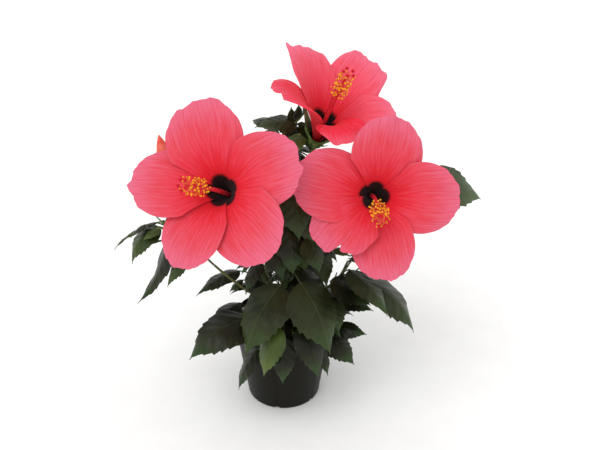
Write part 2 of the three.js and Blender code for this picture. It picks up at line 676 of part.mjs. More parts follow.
keep(solid(pot), 'pot', 'pot');
keep(solid(soilGeometry()), 'pot', 'soil');
[trunk, ...boughs].forEach((limb) => keep(limb.grown, limb.name, 'limb'));

BLOOMS.forEach((bloom) => {
  const shape = keep(bloomShape(bloom, boughs), bloom.name, 'bloom');
  plant.add(named(bloom.name, geometryOf(shape), 'petal'));
});
BUDS.forEach((bud) => {
  const shape = keep(budShape(bud, boughs), bud.name, 'bud');
  plant.add(named(bud.name, geometryOf(shape), 'bud'));
});

// Stems and shown leaves first, then the rule fills each mass
MASSES.forEach((mass) => {
  const limb = mass.bough ? boughs.find((each) => each.name === mass.bough) : trunk;
  mass.limb = limb;
  mass.root = mass.bough ? limb.line[limb.line.length - 1].clone() : pointAtHeight(limb.line, mass.height);
  mass.line = grow(mass.root, mass.stem);
  mass.pieces = [keep(solid(tube(mass.line, taper(...STEM_RADII), 5)), mass.name, 'stem')];
  mass.shown.forEach((leaf) => addLeaf(mass, mass.line, leaf));
});
MASSES.forEach((mass) => {
  const random = seeded(mass.seed);
  for (let i = 0; i < mass.tries; i += 1) {
    const leaf = nextLeaf(mass, random, i);
    if (fits(mass, mass.line, leaf)) addLeaf(mass, mass.line, leaf);
  }
  const shape = wholeBody(join(mass.pieces).subtract(mass.limb.grown));
  plant.add(named(mass.name, geometryOf(shape), 'leaf'));
});

export default plant;
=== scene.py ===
"""A potted hibiscus shrub with three open pink blooms, dressed over its CAD solids."""

import math

import bpy
import numpy as np
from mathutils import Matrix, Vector
from mathutils.bvhtree import BVHTree


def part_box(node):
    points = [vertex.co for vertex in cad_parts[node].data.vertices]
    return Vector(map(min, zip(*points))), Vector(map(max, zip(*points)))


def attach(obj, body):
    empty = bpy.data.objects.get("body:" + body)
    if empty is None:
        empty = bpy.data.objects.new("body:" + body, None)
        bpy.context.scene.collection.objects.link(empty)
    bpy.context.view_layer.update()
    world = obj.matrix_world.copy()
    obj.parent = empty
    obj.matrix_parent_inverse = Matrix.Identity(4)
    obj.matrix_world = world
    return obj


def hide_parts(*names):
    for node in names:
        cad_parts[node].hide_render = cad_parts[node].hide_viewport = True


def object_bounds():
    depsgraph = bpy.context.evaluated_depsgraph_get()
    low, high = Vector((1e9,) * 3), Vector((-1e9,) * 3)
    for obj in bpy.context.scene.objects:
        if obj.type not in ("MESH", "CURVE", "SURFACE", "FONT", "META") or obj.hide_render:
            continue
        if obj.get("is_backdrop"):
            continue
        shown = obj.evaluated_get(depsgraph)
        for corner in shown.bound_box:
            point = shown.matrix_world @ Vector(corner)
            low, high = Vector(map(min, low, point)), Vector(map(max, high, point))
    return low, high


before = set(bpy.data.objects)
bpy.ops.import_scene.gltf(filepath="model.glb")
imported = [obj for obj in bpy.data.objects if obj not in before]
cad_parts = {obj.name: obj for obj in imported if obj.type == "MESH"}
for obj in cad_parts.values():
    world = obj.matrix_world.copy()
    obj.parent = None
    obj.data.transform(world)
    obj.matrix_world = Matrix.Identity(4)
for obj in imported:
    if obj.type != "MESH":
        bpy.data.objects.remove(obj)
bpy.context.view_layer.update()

MM = 0.001
UP = np.array([0.0, 0.0, 1.0])

# -------- the shrub's named sizes, in mm and degrees

TRUNK_LINE = np.array([[1, 3, 82.3], [0.6, 3, 88], [-0.2, 2, 104], [-1, 1, 122]], float)
BOUGH_RADIUS = 2.6
BOUGH_TIP = 1.5
STEM_RADII = (1.6, 1.0)
STALK_RADII = (0.85, 0.6)
LEAF_BEND = 50
LEAF_WIDTH = 0.62
LEAF_FOLD = 14
LEAF_ROLL = 36
SPIRAL = 144
GOLDEN = 137.5
CALYX_DEPTH = 30
CALYX_RADIUS = 7.5
OVERLAP_ANGLE = 0.82
PINWHEEL = 4.5
WIDEST = 0.7
ANTHERS = 88

# Each bough's name, its height on the trunk, its turn, rise, length, swing and curl, and its girth
BOUGHS = [
    ("bough_centre", 121, 62, 83, 126, 20, 6, 1),
    ("bough_left", 98, 204, 47, 146, -62, 10, 0.6),
    ("bough_left_bloom", 106, 201, 76, 114, 70, 40, 1),
    ("bough_right_bloom", 110, 358, 59, 111, 20, 26, 1),
    ("bough_right_low", 98, 338, 40, 63, -10, 30, 1),
    ("bough_back_left", 102, 138, 56, 84, 20, 34, 1),
    ("bough_back_right", 106, 42, 56, 84, -20, 34, 1),
    ("bough_back", 114, 88, 70, 96, 0, 30, 1),
]


def leaf_at(at, turn, rise, reach, aim, pitch, length, width=LEAF_WIDTH, **more):
    """A leaf: its place on the stem, its stalk's turn, rise and reach, and its blade."""
    return dict(at=at, turn=turn, rise=rise, reach=reach, aim=aim, pitch=pitch, length=length,
                width=width, **more)


def mass_of(name, seed, twig_seed, face, pitch, leaf, tries, stem, shown=(), **more):
    """A mass of leaves: leaf is their usual length, tries how many the rule tries, and stem its turn, rise,
    length and curl. more says how many fine twigs it has, and what it stands on."""
    return dict(name=name, seed=seed, twig_seed=twig_seed, face=face, pitch=pitch, leaf=leaf, tries=tries,
                stem=stem, shown=shown, **more)


MASSES = [
    mass_of("foliage_front_low", 11, 913, 272, -58, 50, 8, (273, 41, 49, 20), height=95, shown=[
        leaf_at(1, 263, 10, 41, 224, -68, 54, tone="light"),
        leaf_at(1, 301, 5, 35, 306, -64, 57),
        leaf_at(1, 270, -23, 34, 263, -73, 48, 0.56),
        leaf_at(0.9, 231, -34, 46, 207, -61, 50, 0.5),
        leaf_at(0.9, 320, -30, 50, 312, -63, 32, 0.5)]),
    mass_of("foliage_front_mid", 12, 916, 270, -52, 62, 9, (280, 69, 78, 20), height=101, shown=[
        leaf_at(1, 258, -14, 28, 226, -50, 77, 0.72),
        leaf_at(1, 294, -7, 31, 311, -54, 75, 0.76)]),
    mass_of("foliage_left_low", 18, 900, 200, -45, 56, 6, (222, 30, 48, 20), height=90, shown=[
        leaf_at(1, 265, 25, 28, 206, -25, 70, 0.72, bend=80, roll=12)]),
    mass_of("foliage_right_low", 47, 915, 340, -45, 50, 5, (326, 23, 47, 20), height=93, shown=[
        leaf_at(1, 293, -36, 24, 330, -38, 41, 0.8, roll=-12),
        leaf_at(1, 324, -22, 24, 350, -8, 31, 0.62, roll=-34),
        leaf_at(1, 12, 55, 21, 356, -18, 46, 0.5, roll=-24),
        leaf_at(1, 316, 56, 30, 295, -56, 33, 0.8)]),
    mass_of("foliage_left_mid", 15, 908, 205, -52, 54, 4, (214, 59, 62, 20), height=110, shown=[
        leaf_at(0.75, 178, 19, 22, 203, -21, 50, 0.5),
        leaf_at(1, 298, 46, 22, 226, -50, 35, 0.5),
        leaf_at(0.35, 212, 47, 23, 196, -18, 30, 0.4),
        leaf_at(0.55, 154, 62, 21, 211, -65, 32, 0.75),
        leaf_at(0.8, 65, 74, 22, 197, -25, 30, 0.7)]),
    mass_of("foliage_right_mid", 50, 900, 350, -45, 56, 6, (340, 54, 32, 20), bough="bough_right_low", shown=[
        leaf_at(0.75, 334, 4, 22, 340, -43, 75, 0.66, bend=72, tone="mid"),
        leaf_at(0.2, 265, 40, 30, 354, -33, 48, 0.74, roll=-14)]),
    mass_of("foliage_far_left", 113, 906, 170, -45, 40, 1, (159, 32, 33, 20), bough="bough_left", shown=[
        leaf_at(0.3, 168, 21, 23, 211, -45, 44, 0.72, bend=96, tone="young"),
        leaf_at(1, 149, -32, 27, 194, -32, 38, 0.2, tone="young"),
        leaf_at(0.7, 143, -53, 23, 209, -7, 18, 0.3, tone="young"),
        leaf_at(0.25, 148, -15, 22, 208, -62, 75, 0.36, bend=-42),
        leaf_at(0.35, 29, -69, 22, 209, -52, 41, tone="young")]),
    mass_of("foliage_centre", 18, 901, 285, -64, 56, 9, (290, 78, 130, 34), height=107, shown=[
        leaf_at(0.7, 228, 80, 23, 283, -67, 48, 0.74),
        leaf_at(0.75, 208, 5, 23, 308, -58, 38, 0.7),
        leaf_at(0.9, 333, -36, 22, 310, -60, 36, 0.8),
        leaf_at(1, 68, 68, 21, 285, -69, 51, 0.7),
        leaf_at(0.75, 7, -2, 26, 332, -45, 30, 0.6),
        leaf_at(0.9, 18, 36, 23, 274, -67, 40, 0.7),
        leaf_at(0.65, 18, -2, 28, 302, -67, 42, 0.6)]),
    mass_of("foliage_left_high", 19, 919, 215, -50, 54, 7, (100, 74, 46, 10), bough="bough_left_bloom"),
    mass_of("foliage_right_high", 4, 907, 20, -30, 52, 5, (18, 50, 60, 20), bough="bough_right_bloom", shown=[
        # This big leaf's grey-green tone is a painted sheen, standing in for the gloss of light at a grazing
        # angle.
        leaf_at(1, 344, 4, 50, 11, -26, 61, 0.8, roll=-35, tone="painted_sheen")]),
    mass_of("foliage_top", 21, 909, 150, -40, 46, 5, (256, 75, 60, 10), fine=9, bough="bough_centre", shown=[
        leaf_at(0.75, 14, 61, 23, 194, -1, 40, roll=20, tone="mid"),
        leaf_at(0.8, 314, 34, 24, 245, -28, 33, tone="light"),
        leaf_at(0.75, 39, 69, 22, 104, 82, 14),
        leaf_at(0.7, 350, -25, 34, 10, -30, 25),
        leaf_at(0.95, 45, 10, 23, 314, -67, 29)]),
    mass_of("foliage_back_low", 22, 903, 90, -50, 58, 7, (92, 42, 46, 20), fine=36, height=96),
    mass_of("foliage_back_left", 23, 523, 140, -46, 58, 10, (140, 76, 48, 20),
            fine=36, bough="bough_back_left"),
    mass_of("foliage_back_right", 7, 900, 40, -46, 58, 7, (40, 76, 48, 20),
            fine=36, bough="bough_back_right"),
    mass_of("foliage_back_high", 25, 902, 90, -44, 52, 7, (95, 78, 54, 10), fine=36, bough="bough_back"),
]

# Leaves that the photo shows and that only the dressed model carries, on the same stems
MORE = dict(
    foliage_centre=[
        leaf_at(0.75, 15, -53, 21, 250, -67, 22, 0.8),
        leaf_at(0.65, 6, -2, 42, 340, -17, 18, 0.8),
        leaf_at(0.7, 242, -58, 24, 243, -68, 18, 0.8),
        leaf_at(0.3, 33, 58, 24, 191, -36, 38, 0.8),
        leaf_at(0.25, 11, 51, 23, 205, -51, 30, 0.8)],
    foliage_top=[
        leaf_at(0.9, 35, 10, 27, 341, -54, 21, 0.7),
        leaf_at(0.65, 25, 7, 34, 222, -55, 16, 0.8),
        leaf_at(0.75, 35, 54, 23, 319, 81, 19, 0.8, tone="light"),
        leaf_at(1, 24, 8, 26, 342, -52, 21, 0.8)],
    foliage_left_mid=[
        leaf_at(0.65, 204, 18, 23, 200, -38, 18, 0.7),
        leaf_at(0.75, 177, 59, 21, 196, -58, 16, 0.7)])


def petal_at(clock, reach, lift, **more):
    """A petal: clock is its angle round the axis, reach how far it spreads, lift how far it comes
    forward. Its margin may have peaks, each a place across the petal, a height and a width."""
    return dict(clock=clock, reach=reach, lift=lift, **more)


BLOOMS = [
    dict(name="bloom_left", eye=[-53.6, -78, 282.8], turn=251.5, rise=37, flare=3, width=72,
        bough="bough_left_bloom", at=0.86, out=20, column=[-25, -25, 17], petals=[
        petal_at(114, 79, 14, width=75, peaks=[(-0.4, 0.02, 0.2), (0.5, 0.015, 0.12)]),
        petal_at(184, 77, 14, width=66, peaks=[(0.14, 0.05, 0.16)]),
        petal_at(254, 76, 12, width=60), petal_at(321, 80, 12),
        petal_at(388, 79, 14, peaks=[(0.3, 0.02, 0.1), (-0.3, 0.02, 0.1)])]),
    dict(name="bloom_right", eye=[85.3, -58, 264.4], turn=273, rise=25, flare=3, width=70,
        bough="bough_right_bloom", at=0.84, out=14, column=[2, -40, 0], petals=[
        petal_at(76, 73, 14), petal_at(163, 77, 15),
        petal_at(224, 65, 16, width=79, peaks=[
            (0.17, -0.17, 0.06), (0.85, -0.22, 0.3), (0.38, -0.1, 0.16), (-0.35, 0.05, 0.35),
            (-0.65, 0.03, 0.2)]),
        petal_at(277, 75, 10, width=60), petal_at(358, 74, 13)]),
    dict(name="bloom_top", eye=[40.5, -4, 316.5], turn=311, rise=64.5, flare=1.8, width=60,
        bough="bough_centre", at=0.88, out=20, column=[18.3, -19, 49.8], bare=0.69, calyx=1.25, petals=[
        petal_at(18, 71, 34, width=57, peaks=[
            (-0.28, -0.03, 0.12), (-0.6, 0.05, 0.16), (0.15, -0.02, 0.1), (-0.9, -0.08, 0.1)]),
        petal_at(88, 62, 40, width=50, peaks=[
            (0.5, 0.1, 0.12), (0.02, -0.035, 0.14), (-0.6, -0.06, 0.35)]),
        petal_at(165.5, 66, 45, width=45, deep=True, peaks=[(0.2, -0.06, 0.22), (0.85, -0.08, 0.2)]),
        petal_at(252, 46, 19, flare=3, deep=True, peaks=[(-0.85, -0.12, 0.22)]),
        petal_at(308, 60, 28)]),
]

BUDS = [
    dict(name="bud_left", bough="bough_left", at=0.9, turn=166, rise=71, reach=78, length=47, radius=7.5),
    dict(name="bud_back", bough="bough_back", at=0.9, turn=150, rise=42, reach=46, length=34, radius=6),
]

POT_OUTLINE = [
    (0, 0), (34, 0), (35.8, 0.1), (36.9, 0.5), (37.7, 1.2), (38.1, 2.4), (49.5, 81), (50.6, 81.1),
    (51.4, 81.4), (51.75, 82), (52.4, 90.4), (52.3, 91.3), (51.7, 91.9), (50.8, 91.9), (50.4, 91.2),
    (48.9, 83), (47.5, 81), (36.4, 1.6), (0, 1.6)]
POT_SIDES = 144
NOTCHES = 6
SOIL_SIDES = 150
CRUMBS = 260

# -------- lines and frames


def unit(v):
    return v / max(np.linalg.norm(v), 1e-9)


def heading(turn, rise):
    t, r = math.radians(turn), math.radians(rise)
    return np.array([math.cos(r) * math.cos(t), math.cos(r) * math.sin(t), math.sin(r)])


def grow(start, turn, rise, length, swing=0, curl=0, steps=6):
    """A line that sets out at turn and rise and turns evenly through swing and curl on its way."""
    line = [np.array(start, float)]
    for i in range(steps):
        s = (i + 0.5) / steps - 0.5
        line.append(line[-1] + heading(turn + swing * s, rise + curl * s) * length / steps)
    return np.array(line)


def along(line, share):
    place = min(max(share, 0.0), 1.0) * (len(line) - 1)
    i = min(int(place), len(line) - 2)
    return line[i] + (line[i + 1] - line[i]) * (place - i)


def around(count):
    return np.linspace(0, math.tau, count, endpoint=False)


def out_at(angle, right, up):
    """The way out from an axis at an angle round it."""
    return right * math.cos(angle) + up * math.sin(angle)


def at_height(line, height):
    i = int(np.clip(np.searchsorted(line[:, 2], height) - 1, 0, len(line) - 2))
    return line[i] + (line[i + 1] - line[i]) * (height - line[i, 2]) / (line[i + 1, 2] - line[i, 2])


def smooth(line, count):
    """The line's points joined by a Catmull-Rom curve, taken at count even places."""
    n = len(line)
    ends = np.vstack([2 * line[0] - line[1], line, 2 * line[-1] - line[-2]])
    out = []
    for place in np.linspace(0, n - 1, count):
        i = min(int(place), n - 2)
        t = place - i
        a, b, c, d = ends[i:i + 4]
        out.append(0.5 * (2 * b + (c - a) * t + (2 * a - 5 * b + 4 * c - d) * t * t
                          + (3 * b - a - 3 * c + d) * t ** 3))
    return np.array(out)


def bezier(a, b, c, d, count):
    t = even(count)[:, None]
    return a * (1 - t) ** 3 + 3 * b * t * (1 - t) ** 2 + 3 * c * t * t * (1 - t) + d * t ** 3


def frames(line):
    """Tangent, side and up along a line, with no twist between them."""
    ahead = np.gradient(line, axis=0)
    ahead /= np.linalg.norm(ahead, axis=1, keepdims=True)
    side = np.cross(ahead[0], (0.31, 0.77, 0.55))
    sides = []
    for each in ahead:
        side = unit(side - each * side.dot(each))
        sides.append(side)
    sides = np.array(sides)
    return ahead, sides, np.cross(ahead, sides)


def rings(line, radius, sides, relief=0.0):
    """Rings of points round a line; radius and relief are numbers or arrays over rings and sides."""
    _, side, up = frames(line)
    angle = around(sides)
    reach = np.broadcast_to(np.asarray(radius, float), (len(line),))[:, None] + relief
    reach = np.broadcast_to(reach, (len(line), sides))[..., None]
    spoke = side[:, None] * np.cos(angle)[:, None] + up[:, None] * np.sin(angle)[:, None]
    return line[:, None] + spoke * reach


def even(count):
    return np.linspace(0, 1, count)


def taper(root, tip, count):
    return np.linspace(root, tip, count)


def seeded(seed):
    """The source's own random rule, so that its leaves come again in the same places."""
    state = seed

    def draw():
        nonlocal state
        state = (state * 1664525 + 1013904223) % 2 ** 32
        return state / 2 ** 32
    return draw


# -------- meshes from patches


def stand(name, data):
    """A new object in the scene."""
    made = bpy.data.objects.new(name, data)
    bpy.context.scene.collection.objects.link(made)
    return made


def normals(grid):
    """The unit normals of a grid of points."""
    normal = np.cross(np.gradient(grid, axis=1), np.gradient(grid, axis=0))
    return normal / np.maximum(np.linalg.norm(normal, axis=2, keepdims=True), 1e-9)


# The square's side before it is scaled to one: the root of the area to cover, and a share of the widest
SLACK = 1.08
WIDEST_SHARE = 0.3


def shelves(sizes):
    """Places rectangles of the sizes given on the shelves of one unit square."""
    side = SLACK * math.sqrt(sum(w * h for w, h in sizes)) + WIDEST_SHARE * max(w for w, _ in sizes)
    places = [None] * len(sizes)
    x = y = tall = 0.0
    for i in sorted(range(len(sizes)), key=lambda k: -sizes[k][1]):
        w, h = sizes[i]
        if x + w > side and x > 0:
            x, y, tall = 0.0, y + tall, 0.0
        places[i] = (x, y)
        x, tall = x + w, max(tall, h)
    scale = 1 / max(side, y + tall)
    return [(a * scale, b * scale, w * scale, h * scale) for (a, b), (w, h) in zip(places, sizes)]


SHARP = math.radians(62)
INSET = 0.02
CLOSED = ("flat", "flat")
ZIPPED = ("zip", "zip")


class Form:
    """Patches of quads that become one mesh, each with a plan of its own for the material to read."""

    def __init__(self, name):
        self.name = name
        self.patches = []
        self.looks = []

    def look(self, material):
        if material not in self.looks:
            self.looks.append(material)
        return self.looks.index(material)

    def patch(self, points, material, plan=None, wrap=False, caps=(None, None)):
        """points is rows by columns; material is one, or one for each column of faces."""
        rows, columns = points.shape[:2]
        faces = columns if wrap else columns - 1
        if plan is None:
            v = np.arange(faces + 1) / faces
            u = np.arange(rows) / (rows - 1)
            plan = np.stack(np.broadcast_arrays(v[None], u[:, None]), axis=2)
        given = material if isinstance(material, list) else [material] * faces
        self.patches.append((points, [self.look(m) for m in given], plan, wrap, caps))

    def tube(self, line, radius, sides, material, relief=0.0, caps=(None, "flat")):
        self.patch(rings(line, radius, sides, relief), material, wrap=True, caps=caps)

    def build(self, slot, replaces=()):
        points, faces, looks, plans, beds, sizes = [], [], [], [], [], []
        for grid, *_ in self.patches:
            wide = np.linalg.norm(np.diff(grid[len(grid) // 2], axis=0), axis=1).sum()
            tall = np.linalg.norm(np.diff(grid[:, 0], axis=0), axis=1).sum()
            sizes.append((wide + 1.0, tall + 1.0))
        base = 0
        for (grid, look, plan, wrap, caps), (x, y, w, h) in zip(self.patches, shelves(sizes)):
            rows, columns = grid.shape[:2]
            count = columns if wrap else columns - 1
            i, j = np.meshgrid(np.arange(rows - 1), np.arange(count), indexing="ij")
            nxt = (j + 1) % columns
            quad = np.stack([i * columns + j, i * columns + nxt, (i + 1) * columns + nxt,
                             (i + 1) * columns + j], axis=2).reshape(-1, 4) + base
            corner = [(i, j), (i, j + 1), (i + 1, j + 1), (i + 1, j)]
            plans.append(np.stack([plan[a, b] for a, b in corner], axis=2).reshape(-1, 2))
            bed = [np.stack([x + w * (INSET + (1 - 2 * INSET) * b / count),
                             y + h * (INSET + (1 - 2 * INSET) * a / (rows - 1))], axis=2) for a, b in corner]
            beds.append(np.stack(bed, axis=2).reshape(-1, 2))
            faces.extend(quad.tolist())
            looks.extend(np.tile(look, rows - 1).tolist())
            points.append(grid.reshape(-1, 3))
            for row, cap in zip((0, rows - 1), caps):
                ring = [base + row * columns + k for k in range(columns)]
                more = [ring] if cap == "flat" else []
                if cap == "zip":
                    more = [list(dict.fromkeys((ring[k], ring[k + 1], ring[-k - 1], ring[-k])))
                            for k in range(columns // 2)]
                for face in more:
                    faces.append(face if row else face[::-1])
                    looks.append(look[0])
                    plans.append(np.tile(plan[row, 0], (len(face), 1)))
                    beds.append(np.tile((x + w * 0.5, y + h * (1 - INSET if row else INSET)), (len(face), 1)))
            base += rows * columns
        mesh = bpy.data.meshes.new(self.name)
        mesh.from_pydata(np.concatenate(points) * MM, [], faces)
        for material in self.looks:
            mesh.materials.append(material)
        for name, data in (("plan", plans), ("OFBake", beds)):
            layer = mesh.uv_layers.new(name=name)
            layer.data.foreach_set("uv", np.concatenate(data).astype(np.float32).ravel())
        mesh.polygons.foreach_set("material_index", np.array(looks, np.int32))
        mesh.polygons.foreach_set("use_smooth", np.ones(len(looks), bool))
        mesh.update()
        mesh.set_sharp_from_angle(angle=SHARP)
        piece = stand(self.name, mesh)
        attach(piece, "root")
        if replaces:
            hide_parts(*replaces)
        return piece

    def sheet(self, grid, thick, plan, top, under, caps=(None, "zip")):
        """A thin leaf or petal: the top side of the grid is the side that its normals face."""
        lift = normals(grid) * (thick / 2 if np.isscalar(thick) else thick[..., None] / 2)
        lift[:, [0, -1]] *= 0.0
        ring = np.concatenate([grid + lift, (grid - lift)[:, -2:0:-1]], axis=1)
        across = grid.shape[1] - 1
        flat = np.concatenate([plan, plan[:, -2::-1]], axis=1)
        self.patch(ring, [top] * across + [under] * across, flat, wrap=True, caps=caps)


# -------- materials


def paint(r, g, b):
    """An sRGB colour as Blender's linear one."""
    def line(c):
        c /= 255
        return c / 12.92 if c <= 0.04045 else ((c + 0.055) / 1.055) ** 2.4
    return (line(r), line(g), line(b), 1.0)


class Finish:
    """A material's node tree, built a step at a time."""

    def __init__(self, name, roughness, specular, **sockets):
        self.material = bpy.data.materials.new(name)
        self.material.use_nodes = True
        self.tree = self.material.node_tree
        self.shader = self.tree.nodes["Principled BSDF"]
        self.shader.inputs["Roughness"].default_value = roughness
        self.shader.inputs["Specular IOR Level"].default_value = specular
        for key, value in sockets.items():
            self.shader.inputs[key.replace("_", " ")].default_value = value

    def node(self, kind, inputs=None, **settings):
        """A node whose inputs are sockets, numbers or sRGB colours."""
        made = self.tree.nodes.new("ShaderNode" + kind)
        for key, value in settings.items():
            setattr(made, key, value)
        for key, value in (inputs or {}).items():
            if isinstance(value, bpy.types.NodeSocket):
                self.tree.links.new(value, made.inputs[key])
            elif value is not None:
                made.inputs[key].default_value = paint(*value) if isinstance(value, tuple) else value
        return made

    def math(self, operation, a, b=None, c=None):
        return self.node("Math", {0: a, 1: b, 2: c}, operation=operation).outputs[0]

    def times(self, a, b):
        return self.math("MULTIPLY", a, b)

    def times_add(self, a, b, c):
        return self.math("MULTIPLY_ADD", a, b, c)

    def step(self, value, low, high, start=0.0, end=1.0):
        limits = {"Value": value, "From Min": low, "From Max": high, "To Min": start, "To Max": end}
        return self.node("MapRange", limits, interpolation_type="SMOOTHSTEP").outputs["Result"]

    def mix(self, share, a, b):
        return self.node("Mix", {0: share, 6: a, 7: b}, data_type="RGBA").outputs[2]

    def ramp(self, value, stops):
        made = self.node("ValToRGB", {"Fac": value})
        ramp = made.color_ramp
        while len(ramp.elements) < len(stops):
            ramp.elements.new(0.5)
        for element, (place, colour) in zip(ramp.elements, stops):
            element.position = place
            element.color = paint(*colour)
        return made.outputs["Color"]

    def plan(self):
        parts = self.node("SeparateXYZ", {0: self.node("UVMap", uv_map="plan").outputs[0]})
        return parts.outputs[0], parts.outputs[1]

    def place(self, x, y, z=0.0):
        return self.node("CombineXYZ", {0: x, 1: y, 2: z}).outputs[0]

    def spot(self):
        return self.node("TexCoord").outputs["Object"]

    def noise(self, where, scale, detail=2.0, roughness=0.5):
        grain = {"Vector": where, "Scale": scale, "Detail": detail, "Roughness": roughness}
        return self.node("TexNoise", grain).outputs[0]

    def bump(self, height, distance):
        made = self.node("Bump", {"Height": height, "Distance": distance})
        self.tree.links.new(made.outputs[0], self.shader.inputs["Normal"])

    def colour(self, socket):
        self.tree.links.new(socket, self.shader.inputs["Base Color"])

    def gloss(self, socket):
        self.tree.links.new(socket, self.shader.inputs["Roughness"])


def leaf_finish(name, deep, bright, tip, vein, rough=0.34, relief=0.00025):
    """A leaf's blade, greener towards its tip: a midrib, slanting side veins, and quilting between them."""
    f = Finish(name, rough, 0.2)
    x, y = f.plan()
    across = f.math("ABSOLUTE", f.math("SUBTRACT", x, 0.5))
    rib = f.step(across, 0.006, 0.018, 1.0, 0.0)
    slant = f.math("SUBTRACT", y, f.times(across, 0.9))
    phase = f.math("PINGPONG", f.times(slant, 5.5), 0.5)
    veins = f.step(phase, 0.01, 0.06, 1.0, 0.0)
    fine = f.noise(f.node("UVMap", uv_map="plan").outputs[0], 42.0)
    patchy = f.noise(f.spot(), 38.0)
    tone = f.times_add(fine, 0.35, f.times(patchy, 0.75))
    tone = f.times_add(f.step(y, 0.45, 0.9), 0.42, tone)
    blade = f.ramp(tone, [(0.35, deep), (0.7, bright), (1.0, tip)])
    veined = f.mix(f.times(veins, 0.06), blade, vein)
    f.colour(f.mix(f.times(rib, 0.16), veined, vein))
    f.gloss(f.times_add(fine, 0.2, rough - 0.1))
    quilt = f.step(phase, 0.0, 0.5, 0.0, 1.0)
    ribbed = f.times_add(rib, -0.8, quilt)
    f.bump(f.times_add(fine, 0.3, ribbed), relief)
    return f.material


# The petal's own fade from red through coral to pink; its red is kept higher towards the eye as painted light
# against the shade inside the cup.
PETAL_TONES = [(0.18, (234, 14, 28)), (0.33, (229, 24, 40)), (0.50, (222, 44, 60)),
               (0.76, (219, 74, 90)), (1.0, (221, 102, 128))]
# A lighter, pinker copy of these tones for the top bloom: partly painted light that offsets the shade inside
# its cup, partly the pinker colour of its petals.
LIT_TOP_TONES = [(0.18, (236, 14, 30)), (0.33, (236, 32, 48)), (0.50, (236, 64, 82)),
             (0.76, (236, 90, 110)), (1.0, (236, 110, 136))]
# Two petals of the top bloom stay deep red almost to their edge
DEEP_TONES = [(0.18, (236, 10, 28)), (0.5, (234, 20, 42)), (0.8, (232, 38, 62)), (1.0, (230, 84, 106))]


def petal_finish(name, eye_size, tones=PETAL_TONES, under=False):
    """A petal: a near-black eye, a red ring that fades to coral and then pink, and fine radial veins, with
    painted highlight and shade on their streaks.
    """
    f = Finish(name, 0.6, 0.12, Sheen_Weight=0.08, Sheen_Roughness=0.5, Sheen_Tint=(1.0, 0.72, 0.75, 1.0))
    x, y = f.plan()
    across = f.math("SUBTRACT", x, 0.5)
    curve = f.times(across, across)
    streaks = f.noise(f.place(f.times(x, 50.0), f.times(y, 3.4)), 1.0, 2.0, 0.6)
    broad = f.noise(f.place(f.times(x, 9.0), f.times(y, 1.4), 7.0), 1.0)
    reach = f.math("ADD", y, f.times(curve, 0.2))
    reach = f.times_add(streaks, -0.055, reach)
    body = f.ramp(f.times_add(broad, 0.10, reach), tones)
    # Raised streaks turn lighter pink as painted highlight; low streaks turn redder, partly vein colour and
    # partly painted shade.
    light = f.step(streaks, 0.44, 0.72)
    red = f.step(streaks, 0.56, 0.28)
    body = f.mix(f.times(light, 0.2), body, (222, 122, 146))
    body = f.mix(f.times(red, 0.44), body, (210, 28, 46))
    if under:
        body = f.mix(0.35, body, (222, 122, 142))
    elif eye_size:
        body = f.mix(f.step(reach, eye_size, eye_size + 0.05, 1.0, 0.0), body, (30, 12, 13))
    f.colour(body)
    f.bump(streaks, 0.0006)
    return f.material


def woody_finish(name, low, high, scar, relief, rough=0.75):
    f = Finish(name, rough, 0.3)
    spot = f.spot()
    cells = f.noise(spot, 420.0, 4.0, 0.65)
    broad = f.noise(spot, 60.0)
    tone = f.ramp(f.times_add(cells, 0.6, f.times(broad, 0.4)), [(0.3, low), (0.7, high)])
    specks = f.node("TexVoronoi", {"Vector": spot, "Scale": 330.0}).outputs["Distance"]
    f.colour(f.mix(f.step(specks, 0.22, 0.12), tone, scar))
    f.bump(cells, relief)
    return f.material


def plain_finish(name, low, high, scale, rough, specular=0.4, relief=0.0001):
    """Small parts: two close tones dealt out by noise, and a fine relief."""
    f = Finish(name, rough, specular)
    grain = f.noise(f.spot(), scale, 3.0, 0.6)
    f.colour(f.ramp(grain, [(0.35, low), (0.65, high)]))
    f.bump(grain, relief)
    return f.material


LEAF = {tone: leaf_finish("leaf_" + tone, *colours) for tone, *colours in (
    ("dark", (13, 15, 7), (37, 41, 22), (44, 64, 30), (70, 84, 46)),
    ("mid", (19, 23, 11), (47, 55, 27), (50, 70, 32), (84, 100, 54)),
    ("light", (48, 60, 24), (66, 82, 34), (82, 98, 44), (108, 126, 66)),
    # The next tone is a painted sheen: grey-green for a glossy leaf lit at a grazing angle.
    ("painted_sheen", (52, 62, 42), (72, 84, 58), (80, 96, 66), (108, 120, 88)),
    ("young", (40, 54, 24), (54, 68, 30), (62, 78, 36), (108, 126, 68)),
)}
LEAF_UNDER = leaf_finish("leaf_underside", (36, 45, 26), (50, 60, 36), (56, 68, 40), (96, 108, 70),
                         0.6, -0.0004)
PETAL = petal_finish("petal", 0.18)
PETAL_TOP_LIT = petal_finish("petal_top_lit", 0.22, LIT_TOP_TONES)
PETAL_DEEP = petal_finish("petal_deep", 0.22, DEEP_TONES)
PETAL_UNDER = petal_finish("petal_underside", 0.0, under=True)
DEEP_UNDER = petal_finish("petal_deep_underside", 0.0, DEEP_TONES)
BARK = woody_finish("bark", (78, 62, 44), (128, 108, 78), (160, 144, 112), 0.0007)
SHOOT_WOOD = woody_finish("shoot_woody", (72, 74, 40), (110, 112, 62), (150, 150, 100), 0.0003, 0.6)
SHOOT = plain_finish("shoot_green", (66, 88, 34), (102, 122, 56), 160.0, 0.5)
STALK = plain_finish("leaf_stalk", (40, 50, 24), (66, 76, 38), 160.0, 0.48)
STALK_LIGHT = plain_finish("leaf_stalk_light", (90, 106, 44), (128, 138, 68), 160.0, 0.48)
CALYX = plain_finish("calyx_green", (76, 104, 42), (112, 138, 66), 220.0, 0.55, relief=0.0002)
